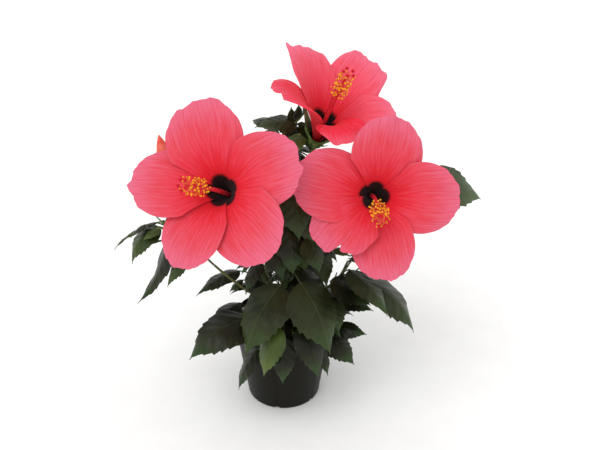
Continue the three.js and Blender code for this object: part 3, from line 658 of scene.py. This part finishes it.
COLUMN = plain_finish("column_red", (196, 18, 40), (226, 60, 70), 260.0, 0.5)
FILAMENT = plain_finish("filament", (226, 60, 60), (240, 104, 84), 300.0, 0.5)
ANTHER = plain_finish("anther_yellow", (232, 150, 20), (246, 190, 40), 900.0, 0.8, 0.2, 0.0003)
ANTHER_DEEP = plain_finish("anther_orange", (206, 104, 24), (232, 150, 44), 900.0, 0.8, 0.2, 0.0003)
STIGMA = plain_finish("stigma_red", (190, 14, 36), (208, 26, 46), 900.0, 0.85, 0.2, 0.0004)
BUD = plain_finish("bud_coral", (224, 80, 62), (238, 120, 98), 140.0, 0.55)
SOIL = woody_finish("compost", (26, 20, 15), (58, 45, 34), (84, 66, 48), 0.0016, 0.95)
POT = plain_finish("pot_plastic", (24, 23, 18), (29, 28, 23), 700.0, 0.42, 0.07, 0.00006)

# -------- leaves


def outline(u):
    drawn = 1 + 0.55 * np.clip((u - 0.68) / 0.32, 0, 1)
    return np.maximum(np.sin(math.pi * u ** 0.62), 0) ** (0.92 * drawn)


def stalk_base(root, leaf):
    return grow(root, leaf["turn"], leaf["rise"], leaf["reach"], curl=-24, steps=2)


# A blade's thickness, the room a new leaf needs on each side, how near a blade lies to the solid that holds
# it, and the length under which a leaf takes a lighter tone
THICK = 0.45
CLEAR = 0.7
HELD = 0.95
SMALL_LEAF = 26
FINE_TWIGS = 18
TEETH = 5
TOOTH_SIZES = (0.5, 0.9, 1.0, 0.85, 0.6)
ROW_U, ROW_TOOTH = [0.0, 0.03, 0.08, 0.15, 0.23, 0.31], [0.0] * 6
for k in range(TEETH):
    first = 0.38 + 0.108 * k
    ROW_U += [first, first + 0.05, first + 0.082]
    ROW_TOOTH += [-0.7 * TOOTH_SIZES[k], 0.2 * TOOTH_SIZES[k], TOOTH_SIZES[k]]
ROW_U, ROW_TOOTH = np.array(ROW_U + [0.94, 0.97, 1.0]), np.array(ROW_TOOTH + [0.0] * 3)
COLUMN_V = np.array([-1, -0.74, -0.44, -0.14, 0, 0.14, 0.44, 0.74, 1.0])


def blade_grid(base, leaf, wave=0.0, u=ROW_U, tooth=ROW_TOOTH, v=COLUMN_V):
    """Points on the blade's mid-surface and its plan."""
    length, bend = leaf["length"], leaf.get("bend", LEAF_BEND)
    arc = math.radians(bend)
    radius = length / (2 * math.sin(arc / 2))
    ahead = heading(leaf["aim"], leaf["pitch"])
    flat = heading(leaf["aim"] - 90, 0)
    over = np.cross(flat, ahead)
    side = out_at(math.radians(leaf.get("roll", 0)), flat, over)
    up = np.cross(side, ahead)
    u, tooth = u[:, None], tooth[:, None]
    a = arc * (u - 0.5)
    middle = (base + ahead * (radius * (np.sin(a) + math.sin(arc / 2)))
              + up * (radius * (np.cos(a) - math.cos(arc / 2))))
    normal = up * np.cos(a) + ahead * np.sin(a)
    forth = ahead * np.cos(a) - up * np.sin(a)
    wide = leaf.get("width", LEAF_WIDTH)
    half = np.maximum(outline(u) * wide * length / 2 * (1 + 0.065 * tooth), 0.4)
    fold = math.radians(LEAF_FOLD)
    size = np.abs(v)
    dip = (np.sqrt(size ** 2 + 0.006) - 0.077) * math.sin(fold)
    quilt = 0.005 * length * np.sin(math.tau * (5.5 * (u - 0.9 * size * half / length)))
    ripple = 0.016 * length * np.sin(math.tau * (2.3 * u + wave) + v * 1.7) * size ** 2
    envelope = np.sin(math.pi * np.clip(u, 0, 1))
    height = -dip * half + (quilt * size * (1.2 - size) * 2 + ripple) * envelope
    push = 0.014 * length * tooth * size ** 4
    grid = (middle[:, None] + side * (v * half * math.cos(fold))[..., None]
            + normal[:, None] * height[..., None] + forth[:, None] * push[..., None])
    plan = np.stack(np.broadcast_arrays(0.5 + v * half / length, u), axis=2)
    return grid, plan


def leaf_solid(grid):
    """The two faces of a coarse blade, as points and quads in mm, for testing what it touches."""
    lift = normals(grid) * CLEAR
    rows, columns = grid.shape[:2]
    faces = []
    for i in range(rows - 1):
        for k in range(i * columns, (i + 1) * columns - 1):
            quad = [k, k + 1, k + columns + 1, k + columns]
            faces += [quad, [rows * columns + k for k in quad[::-1]]]
    return np.concatenate([(grid + lift).reshape(-1, 3), (grid - lift).reshape(-1, 3)]), faces


def tree_of(points, faces):
    return BVHTree.FromPolygons([tuple(p) for p in points], faces)


# What stands already: the tree of its faces, and the corners of its box
standing = []


def hold(points, faces):
    standing.append((tree_of(points, faces), points.min(0), points.max(0)))


def free(points, faces):
    """Whether a new leaf would touch nothing that stands already."""
    tree, low, high = tree_of(points, faces), points.min(0), points.max(0)
    near = (other for other, a, b in standing if np.all(low <= b) and np.all(high >= a))
    return not any(tree.overlap(other) for other in near)


def node_mesh(name):
    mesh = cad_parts[name].data
    return np.array([v.co for v in mesh.vertices], float) / MM, [list(p.vertices) for p in mesh.polygons]


def next_leaf(mass, random, i):
    """The source's seeded rule: a spiral round the stem, pressed towards the side the mass faces."""
    spread = math.fmod(i * SPIRAL + 50 * (random() - 0.5), 360) - 180
    turn = mass["face"] + 0.62 * spread
    return leaf_at(0.18 + 0.82 * ((i + random()) / mass["tries"]), turn, 8 + 40 * random(),
                   13 + 15 * random(), turn + 40 * (random() - 0.5), mass["pitch"] + 34 * (random() - 0.5),
                   mass["leaf"] * (0.72 + 0.46 * random()), roll=LEAF_ROLL * (random() - 0.5))


boughs = {}
for name, height, turn, rise, length, swing, curl, _ in BOUGHS:
    boughs[name] = grow(at_height(TRUNK_LINE, height), turn, rise, length, swing, curl, 7)

stems = {}
for mass in MASSES:
    root = boughs[mass["bough"]][-1] if "bough" in mass else at_height(TRUNK_LINE, mass["height"])
    turn, rise, length, curl = mass["stem"]
    stems[mass["name"]] = grow(root, turn, rise, length, curl=curl)

# Every leaf of the solids comes again: the ones shown, and those of the rule whose blade the solid holds
leaves = []
for mass in MASSES:
    stem = stems[mass["name"]]
    solid = tree_of(*node_mesh(mass["name"]))
    random = seeded(mass["seed"])
    for leaf in mass["shown"]:
        leaves.append((mass, along(stem, leaf["at"]), leaf))
    for i in range(mass["tries"]):
        leaf = next_leaf(mass, random, i)
        root = along(stem, leaf["at"])
        base = stalk_base(root, leaf)[-1]
        probe, _ = blade_grid(base, leaf, u=np.array([0.45, 0.76]), tooth=np.zeros(2), v=np.array([0.0]))
        near = [solid.find_nearest(Vector(p[0]))[3] for p in probe]
        if max(near) < HELD:
            leaves.append((mass, root, leaf))

for name in ("pot", "potting_soil", "trunk", *boughs, *(row["name"] for row in BLOOMS + BUDS + MASSES)):
    hold(*node_mesh(name))

TEST_U = np.array([0.03, 0.25, 0.5, 0.75, 1.0])
TEST_V = np.array([-1, -0.5, 0, 0.5, 1.0])


def coarse(root, leaf):
    return blade_grid(stalk_base(root, leaf)[-1], leaf, u=TEST_U, tooth=np.zeros(5), v=TEST_V)[0]


for mass in MASSES:
    for leaf in MORE.get(mass["name"], ()):
        root = along(stems[mass["name"]], leaf["at"])
        leaves.append((mass, root, leaf))
        hold(*leaf_solid(coarse(root, leaf)))

# Finer twigs: short side shoots on each stem, with smaller leaves that keep to the mass's own box
twigs = []
for mass in MASSES:
    stem = stems[mass["name"]]
    low, high = (np.array(c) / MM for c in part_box(mass["name"]))
    random = seeded(mass["twig_seed"])
    tries = mass.get("fine", FINE_TWIGS)
    for i in range(tries):
        turn = mass["face"] + 0.8 * (math.fmod(i * GOLDEN, 360) - 180)
        root = along(stem, 0.1 + 0.9 * (i + random()) / tries)
        shoot = grow(root, turn, 15 + 40 * random(), 12 + 14 * random(), curl=24, steps=4)
        placed = []
        for k in range(3):
            leaf = dict(turn=turn + 75 * (k - 1) + 30 * (random() - 0.5), rise=20 + 40 * random(),
                        reach=6 + 6 * random(), length=mass["leaf"] * (0.42 + 0.36 * random()),
                        roll=LEAF_ROLL * (random() - 0.5))
            leaf["aim"] = leaf["turn"] + 30 * (random() - 0.5)
            leaf["pitch"] = mass["pitch"] + 20 + 34 * (random() - 0.5)
            start = along(shoot, (0.45, 0.75, 1.0)[k])
            grid = coarse(start, leaf)
            inside = np.all(grid >= low - 1) and np.all(grid <= high + 1)
            if inside and free(*leaf_solid(grid)):
                hold(*leaf_solid(grid))
                placed.append((mass, start, leaf))
        if placed:
            twigs.append(shoot)
            leaves.extend(placed)


def group_of(mass):
    return "back" if "back" in mass["name"] else "front"


forms = {"front": Form("leaves_front"), "back": Form("leaves_back")}
shoots = Form("stems_and_stalks")
deal = seeded(77)
for mass, root, leaf in leaves:
    # Small leaves are mid or light, the others dark or mid, where no tone is given
    draw, small = deal(), leaf["length"] < SMALL_LEAF
    dealt = ("mid", "light")[draw > 0.6] if small else ("dark", "mid")[draw > 0.72]
    tone = leaf.get("tone", dealt)
    path = stalk_base(root, leaf)
    base = path[-1]
    bend = leaf.get("bend", LEAF_BEND)
    grid, plan = blade_grid(base, leaf, wave=deal())
    forms[group_of(mass)].sheet(grid, THICK, plan, LEAF[tone], LEAF_UNDER)
    inside = base + heading(leaf["aim"], leaf["pitch"] + bend / 2) * 3
    line = smooth(np.vstack([path, inside]), 12)
    s = even(12)
    swell = 0.55 * np.exp(-(s / 0.09) ** 2) + 0.22 * np.exp(-((s - 0.8) / 0.1) ** 2)
    shoots.tube(line, taper(*STALK_RADII, 12) * 0.92 + swell, 7,
                STALK_LIGHT if tone in ("light", "young") else STALK, caps=(None, "flat"))
for mass in MASSES:
    line = smooth(stems[mass["name"]], 40)
    knots = 0.22 * np.maximum(np.cos(even(40) * math.tau * 6), 0) ** 6
    shoots.tube(line, taper(*STEM_RADII, 40) + knots, 9, SHOOT, caps=CLOSED)
for shoot in twigs:
    shoots.tube(smooth(shoot, 10), taper(0.95, 0.6, 10), 7, SHOOT)

for key, form in forms.items():
    form.build("leaf", [mass["name"] for mass in MASSES if group_of(mass) == key])
shoots.build("shoot")

# -------- trunk and boughs


def limb(form, line, radii, count, sides, material, seed, relief=0.28, root_swell=0.0):
    """A limb with the bark's ridges, rings at its nodes, and a swelling where it leaves its parent."""
    rng = np.random.default_rng(seed)
    path = smooth(line, count)
    length = np.linalg.norm(np.diff(path, axis=0), axis=1).sum()
    s = even(count)[:, None]
    angle = around(sides)[None]
    rough = np.zeros((count, sides))
    for k in range(1, 7):
        turns = rng.integers(2, 9)
        rough += np.sin(turns * angle + rng.uniform(0, 6.28) + s * rng.uniform(-9, 9) * length / 60) / k
    rough += 0.5 * rng.standard_normal((count, sides))
    nodes = max(int(length / 17), 1)
    phase = s * nodes + 0.3
    ring = np.exp(-((phase - np.round(phase)) / 0.055) ** 2)
    scar_at = np.round(phase) * math.radians(SPIRAL)
    scar = ring * np.exp(-((np.mod(angle - scar_at + math.pi, math.tau) - math.pi) / 0.5) ** 2)
    shape = rough * relief * 0.25 + ring * 0.16 + scar * 0.7
    radius = np.interp(s[:, 0], even(len(radii)), radii)
    radius = radius + root_swell * np.exp(-(s[:, 0] / 0.05) ** 2)
    form.tube(path, radius, sides, material, relief=shape, caps=CLOSED)


limbs = Form("trunk_and_boughs")
limb(limbs, TRUNK_LINE, [8.6, 6.3, 5.7, 5.2, 4.6], 44, 36, BARK, 5, relief=0.7)
for number, (name, *_, girth) in enumerate(BOUGHS):
    radii = np.array([BOUGH_RADIUS, BOUGH_TIP]) * girth
    limb(limbs, boughs[name], radii, 90, 18, SHOOT_WOOD, 20 + number, root_swell=0.5)
limbs.build("bark", ["trunk", *boughs])

# -------- blooms

PETAL_ROWS = 38
PETAL_COLUMNS = 41


def flower_frame(bloom):
    ahead = heading(bloom["turn"], bloom["rise"])
    right = unit(np.cross(UP, ahead))
    return np.array(bloom["eye"], float), ahead, right, np.cross(ahead, right)


def petal(form, bloom, number):
    row = bloom["petals"][number]
    reach, lift = row["reach"], row["lift"]
    width, flare = row.get("width", bloom["width"]), row.get("flare", bloom["flare"])
    eye, ahead, right, up = flower_frame(bloom)
    a, b, c = np.random.default_rng(hash_of(bloom["name"]) + number).uniform(0, 6.28, 3)
    v = np.sin(math.pi / 2 * np.linspace(1, -1, PETAL_COLUMNS))
    t = even(PETAL_ROWS)[:, None]
    tip = WIDEST + (1 - WIDEST) * np.sqrt(np.maximum(1 - np.abs(v) ** 2.5, 0))
    tip = tip * (1 + 0.008 * np.sin(5.3 * v + a) + 0.006 * np.sin(12.7 * v + b) + 0.005 * np.sin(31 * v + c))
    for place, tall, wide in row.get("peaks", ()):
        tip = tip + tall * np.exp(-((v - place) / wide) ** 2)
    u = t * tip
    r = 3 + (reach - 3) * u ** 1.25
    z = lift - (lift + CALYX_DEPTH) * np.maximum(1 - u, 0) ** flare
    grown = np.sin(math.pi / 2 * np.minimum(u / WIDEST, 1)) ** 0.9
    spread = np.maximum(grown * width / 2, 1.5)
    turn = math.radians(row["clock"]) + v * np.minimum(spread / r, OVERLAP_ANGLE)
    far = np.clip(u, 0, 1)
    ridge = 0.30 * np.sin(math.tau * 5.2 * v + a) * np.clip(far * 3, 0, 1) * (1 - 0.5 * far)
    ruffle = (1.5 * np.sin(math.tau * 1.15 * v + b) + 0.9 * np.sin(math.tau * 2.3 * v + c)) * far ** 4
    curl = -2.2 * t ** 9
    height = z + PINWHEEL * v * u + ridge + ruffle + curl
    grid = (eye + right * (r * np.cos(turn))[..., None] + up * (r * np.sin(turn))[..., None]
            + ahead * height[..., None])
    plan = np.stack(np.broadcast_arrays((v + 1) / 2, u), axis=2)
    thick = 0.9 - 0.55 * np.broadcast_to(t, u.shape) ** 2
    # The top bloom takes the lighter copy of the tones, with painted light against the shade inside its cup.
    top, under = (PETAL_TOP_LIT if bloom["name"] == "bloom_top" else PETAL), PETAL_UNDER
    if row.get("deep"):
        top, under = PETAL_DEEP, DEEP_UNDER
    form.sheet(grid, thick, plan, top, under, caps=ZIPPED)


def hash_of(name):
    return sum(ord(c) * (i + 1) for i, c in enumerate(name))


def ball(form, centre, axis, length, radius, material, sides=7, rows=6):
    """A small rounded body along an axis."""
    axis = unit(axis)
    line = centre + axis * (np.linspace(-0.5, 0.5, rows) * length)[:, None]
    girth = radius * np.sqrt(np.maximum(1 - np.linspace(-0.96, 0.96, rows) ** 2, 0.02))
    form.tube(line, girth, sides, material, caps=CLOSED)


def column(bloom, red, yellow):
    """The staminal column: filaments with anthers round its outer half, and five stigmas at its tip."""
    eye, ahead, *_ = flower_frame(bloom)
    tip = eye + np.array(bloom["column"], float)
    line = bezier(eye + ahead * (2 - CALYX_DEPTH), eye + ahead * 4, (eye + tip) / 2, tip, 40)
    red.tube(line, np.interp(even(40), [0, 0.3, 0.9, 1], [2.4, 1.9, 1.4, 1.0]), 12, COLUMN)
    tangent, side, over = frames(line)
    rng = np.random.default_rng(hash_of(bloom["name"]))
    bare = bloom.get("bare", 0.56)
    for k in range(ANTHERS):
        share = bare + (0.98 - bare) * k / ANTHERS
        i = int(share * 39)
        out = out_at(math.radians(GOLDEN * k), side[i], over[i])
        start = line[i] + out * 0.9
        lean = unit(tangent[i] * rng.uniform(0.35, 0.8) + out)
        long = rng.uniform(3.8, 7.6)
        middle = start + lean * long * 0.55 + tangent[i] * 0.2
        end = start + lean * long + tangent[i] * rng.uniform(-0.6, 0.9)
        red.tube(smooth(np.array([start, middle, end]), 5), taper(0.24, 0.15, 5), 4, FILAMENT)
        tone = ANTHER if rng.random() < 0.62 else ANTHER_DEEP
        spin = unit(np.cross(lean, rng.normal(size=3)))
        ball(yellow, end + lean * 0.5, spin, rng.uniform(1.8, 2.4), rng.uniform(0.72, 0.95), tone)
    last = line[-1]
    for k in range(5):
        out = out_at(math.tau * k / 5 + 0.3, side[-1], over[-1])
        end = last + tangent[-1] * 3.6 + out * 4.4
        path = np.array([last - tangent[-1], last + tangent[-1] * 2.4 + out * 1.3, end])
        red.tube(smooth(path, 7), taper(0.5, 0.32, 7), 6, FILAMENT)
        ball(red, end + unit(out + tangent[-1]) * 0.9, unit(out + tangent[-1]), 2.8, 1.6, STIGMA, 9, 7)


def calyx(form, eye, ahead, right, up, size):
    """The green cup with its five pointed lobes, and the narrow bracts below it."""
    tall = max(size, 1.0) ** 1.6
    steps = even(14)
    steps = np.concatenate([steps, steps[:3:-1]])
    inner = np.arange(len(steps)) >= 14
    line = eye - ahead * (CALYX_DEPTH + 5 - 10.8 * steps * size)[:, None]
    radius = (3 + (CALYX_RADIUS - 2.6) * np.sqrt(steps) - 0.7 * inner) * size
    angle = around(30)
    reach = radius[:, None] + 0.18 * size * np.cos(10 * angle)
    spoke = right * np.cos(angle)[:, None] + up * np.sin(angle)[:, None]
    form.patch(line[:, None] + spoke * reach[..., None], CALYX, wrap=True, caps=CLOSED)
    lobes = (5, 36, CALYX_DEPTH - 4.5 * size, CALYX_RADIUS - 0.4, CALYX_DEPTH - 22 * tall,
             CALYX_RADIUS + 8.5 * tall, 8.5, 2.0)
    bracts = (8, 18, CALYX_DEPTH + 3.5, 2.4, CALYX_DEPTH - 5, 10, 2.2, 1.2)
    for count, first, root_back, root_out, end_back, end_out, width, cup in (lobes, bracts):
        for i in range(count):
            out = out_at(math.radians(first + 360 / count * i), right, up)
            root = eye - ahead * root_back + out * root_out * size
            end = eye - ahead * end_back + out * end_out * size
            lobe(form, root, end, np.cross(ahead, out), width * size, cup)


def lobe(form, root, end, wide, width, cup):
    s = even(9)[:, None]
    v = np.linspace(1, -1, 7)
    shape = width / 2 * (1 - s ** 1.6) ** 0.75 + 0.12
    rise = unit(np.cross(wide, end - root))
    middle = root + (end - root) * s
    bow = np.sin(math.pi * s) * 1.2
    grid = (middle[:, None] + wide * (v * shape)[..., None]
            - rise * (cup * v ** 2 * (1 - s) * 0.5 - bow * 0.6)[..., None])
    plan = np.stack(np.broadcast_arrays((v + 1) / 2, s), axis=2)
    form.sheet(grid, 0.5, plan, CALYX, CALYX, caps=ZIPPED)


def bloom_stalk(form, bloom):
    eye, ahead, *_ = flower_frame(bloom)
    root = along(boughs[bloom["bough"]], bloom["at"])
    end = eye - ahead * (CALYX_DEPTH + 3)
    level, out = unit((end - root) * (1, 1, 0)), bloom["out"]
    line = bezier(root, root + level * out + UP * out * 0.5, end - ahead * out, end, 30)
    joint = 0.35 * np.exp(-((even(30) - 0.72) / 0.03) ** 2)
    form.tube(line, taper(1.3, 1.7, 30) + joint, 12, SHOOT)


greens = Form("calyces_and_flower_stalks")
reds = Form("columns")
yellows = Form("anthers")
for bloom in BLOOMS:
    petals = Form(bloom["name"].replace("bloom", "petals"))
    for number in range(5):
        petal(petals, bloom, number)
    petals.build("petal", [bloom["name"]])
    column(bloom, reds, yellows)
    calyx(greens, *flower_frame(bloom), bloom.get("calyx", 1.0))
    bloom_stalk(greens, bloom)


def bud(form, row):
    """A closed bud: the petals rolled round each other in a pointed spindle, standing in its calyx."""
    path = grow(along(boughs[row["bough"]], row["at"]), row["turn"], row["rise"], row["reach"], curl=20)
    greens.tube(smooth(path, 30), taper(1.1, 1.5, 30), 10, SHOOT)
    ahead = unit(path[-1] - path[-2])
    right = unit(np.cross(UP, ahead))
    up = np.cross(ahead, right)
    s = np.linspace(0.02, 1, 40)
    line = path[-1] + ahead * (s * row["length"])[:, None]
    girth = np.maximum(row["radius"] * np.sin(math.pi * np.minimum(0.86 * s + 0.14, 1)) ** 0.8, 0.4)
    angle = around(40)[None]
    fold = np.mod(5 * angle + 5.5 * s[:, None] * math.pi / 2, math.tau)
    wrap = 0.09 * row["radius"] * (np.abs(fold / math.pi - 1) - 0.5)
    form.tube(line, girth, 40, BUD, relief=wrap * np.sin(math.pi * s)[:, None] * 1.6, caps=CLOSED)
    base = path[-1] + ahead * CALYX_DEPTH * 1.02
    calyx(greens, base, ahead, right, up, 0.72)


buds = Form("buds")
for row in BUDS:
    bud(buds, row)
buds.build("bud", [row["name"] for row in BUDS])
greens.build("calyx")
reds.build("column")
yellows.build("anther")

# -------- pot and compost

profile = np.array(POT_OUTLINE, float)
turns = around(POT_SIDES)
radius = np.maximum(profile[:, 0], 0.01)[:, None]
grid = np.stack([radius * np.cos(turns), radius * np.sin(turns),
                 np.broadcast_to(profile[:, 1:], (len(profile), POT_SIDES))], axis=2)
pot = Form("pot_shell")
pot.patch(grid, POT, wrap=True, caps=CLOSED)
shell = pot.build("pot", ["pot"])
cutter = bpy.data.meshes.new("notches")
points, faces = [], []
for i in range(NOTCHES):
    turn = math.radians(-100 + 360 / NOTCHES * i)
    c, s = math.cos(turn), math.sin(turn)
    first = len(points)
    for z in (-3.5, 3.5):
        for x, y in ((34.5, -2.5), (41.5, -2.5), (41.5, 2.5), (34.5, 2.5)):
            points.append(((x * c - y * s) * MM, (x * s + y * c) * MM, z * MM))
    for face in ((3, 2, 1, 0), (4, 5, 6, 7), (0, 1, 5, 4), (1, 2, 6, 5), (2, 3, 7, 6), (3, 0, 4, 7)):
        faces.append([first + k for k in face])
cutter.from_pydata(points, [], faces)
tool = stand("notches", cutter)
cut = shell.modifiers.new("notches", "BOOLEAN")
cut.object = tool
cut.operation = "DIFFERENCE"
cut.solver = "EXACT"
bpy.context.view_layer.objects.active = shell
bpy.ops.object.modifier_apply(modifier=cut.name)
bpy.data.objects.remove(tool)
edges = shell.modifiers.new("edges", "EDGE_SPLIT")
edges.split_angle = math.radians(38)
bpy.ops.object.modifier_apply(modifier=edges.name)

rng = np.random.default_rng(3)
soil = Form("compost_top")
turns = around(SOIL_SIDES)
radii = np.concatenate([[0.05], np.linspace(1.2, 46.6, 44)])
waves = [(rng.uniform(0.05, 0.55, 2) * rng.choice([-1, 1], 2), rng.uniform(0, 6.28)) for _ in range(26)]
flat_x, flat_y = radii[:, None] * np.cos(turns), radii[:, None] * np.sin(turns)
lumps = sum(np.sin(flat_x * w[0] + flat_y * w[1] + p) for w, p in waves) * 0.16
lumps += rng.normal(0, 0.16, lumps.shape)
mound = 81.6 + 1.2 * np.exp(-((flat_x - 1) ** 2 + (flat_y - 3) ** 2) / 500)
mound = mound + lumps * np.clip((47 - radii[:, None]) / 4, 0.1, 1)
top = np.stack([flat_x, flat_y, mound], axis=2)
skirt = []
for inner, height in ((46.4, 78.0), (36.2, 8.0), (30.0, 2.0), (0.05, 2.0)):
    ring = (inner * np.cos(turns), inner * np.sin(turns), np.full(SOIL_SIDES, height))
    skirt.append(np.stack(ring, axis=1))
soil.patch(np.concatenate([np.array(skirt)[::-1], top[::-1]]), SOIL, wrap=True, caps=CLOSED)
for _ in range(CRUMBS):
    spin, far = rng.uniform(0, math.tau), 44 * math.sqrt(rng.random())
    size = rng.uniform(0.5, 1.5)
    centre = np.array([far * math.cos(spin), far * math.sin(spin), 82.0 + 0.2 * size])
    ball(soil, centre, rng.normal(size=3), size * 2, size * rng.uniform(0.5, 0.9), SOIL, 6, 5)
soil.build("soil", ["potting_soil"])

# -------- floor, light and camera

FLOOR = plain_finish("floor_paper", (250, 250, 249), (253, 253, 252), 30.0, 0.9, 0.05, 0.00001)
mesh = bpy.data.meshes.new("floor")
mesh.from_pydata([(-6, -4, 0), (6, -4, 0), (6, 8, 0), (-6, 8, 0)], [], [(0, 1, 2, 3)])
mesh.materials.append(FLOOR)
floor = stand("floor", mesh)
floor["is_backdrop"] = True

sun = bpy.data.lights.new("key", "SUN")
sun.energy = 1.0
sun.angle = math.radians(40)
key = stand("key", sun)
key.rotation_euler = Vector(heading(62, -55)).to_track_quat("-Z", "Y").to_euler()

world = bpy.data.worlds.new("studio")
world.use_nodes = True
background = world.node_tree.nodes["Background"].inputs
background[0].default_value = (1, 1, 1, 1)
background[1].default_value = 0.9
bpy.context.scene.world = world

lens = bpy.data.cameras.new("camera")
lens.lens = 57.96
lens.clip_end = 20
camera = stand("camera", lens)
camera.location = (0.0174, -0.8227, 0.6769)
camera.rotation_euler = (math.radians(60), 0, 0)
bpy.context.scene.camera = camera
bpy.context.scene.view_settings.view_transform = "Standard"

low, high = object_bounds()
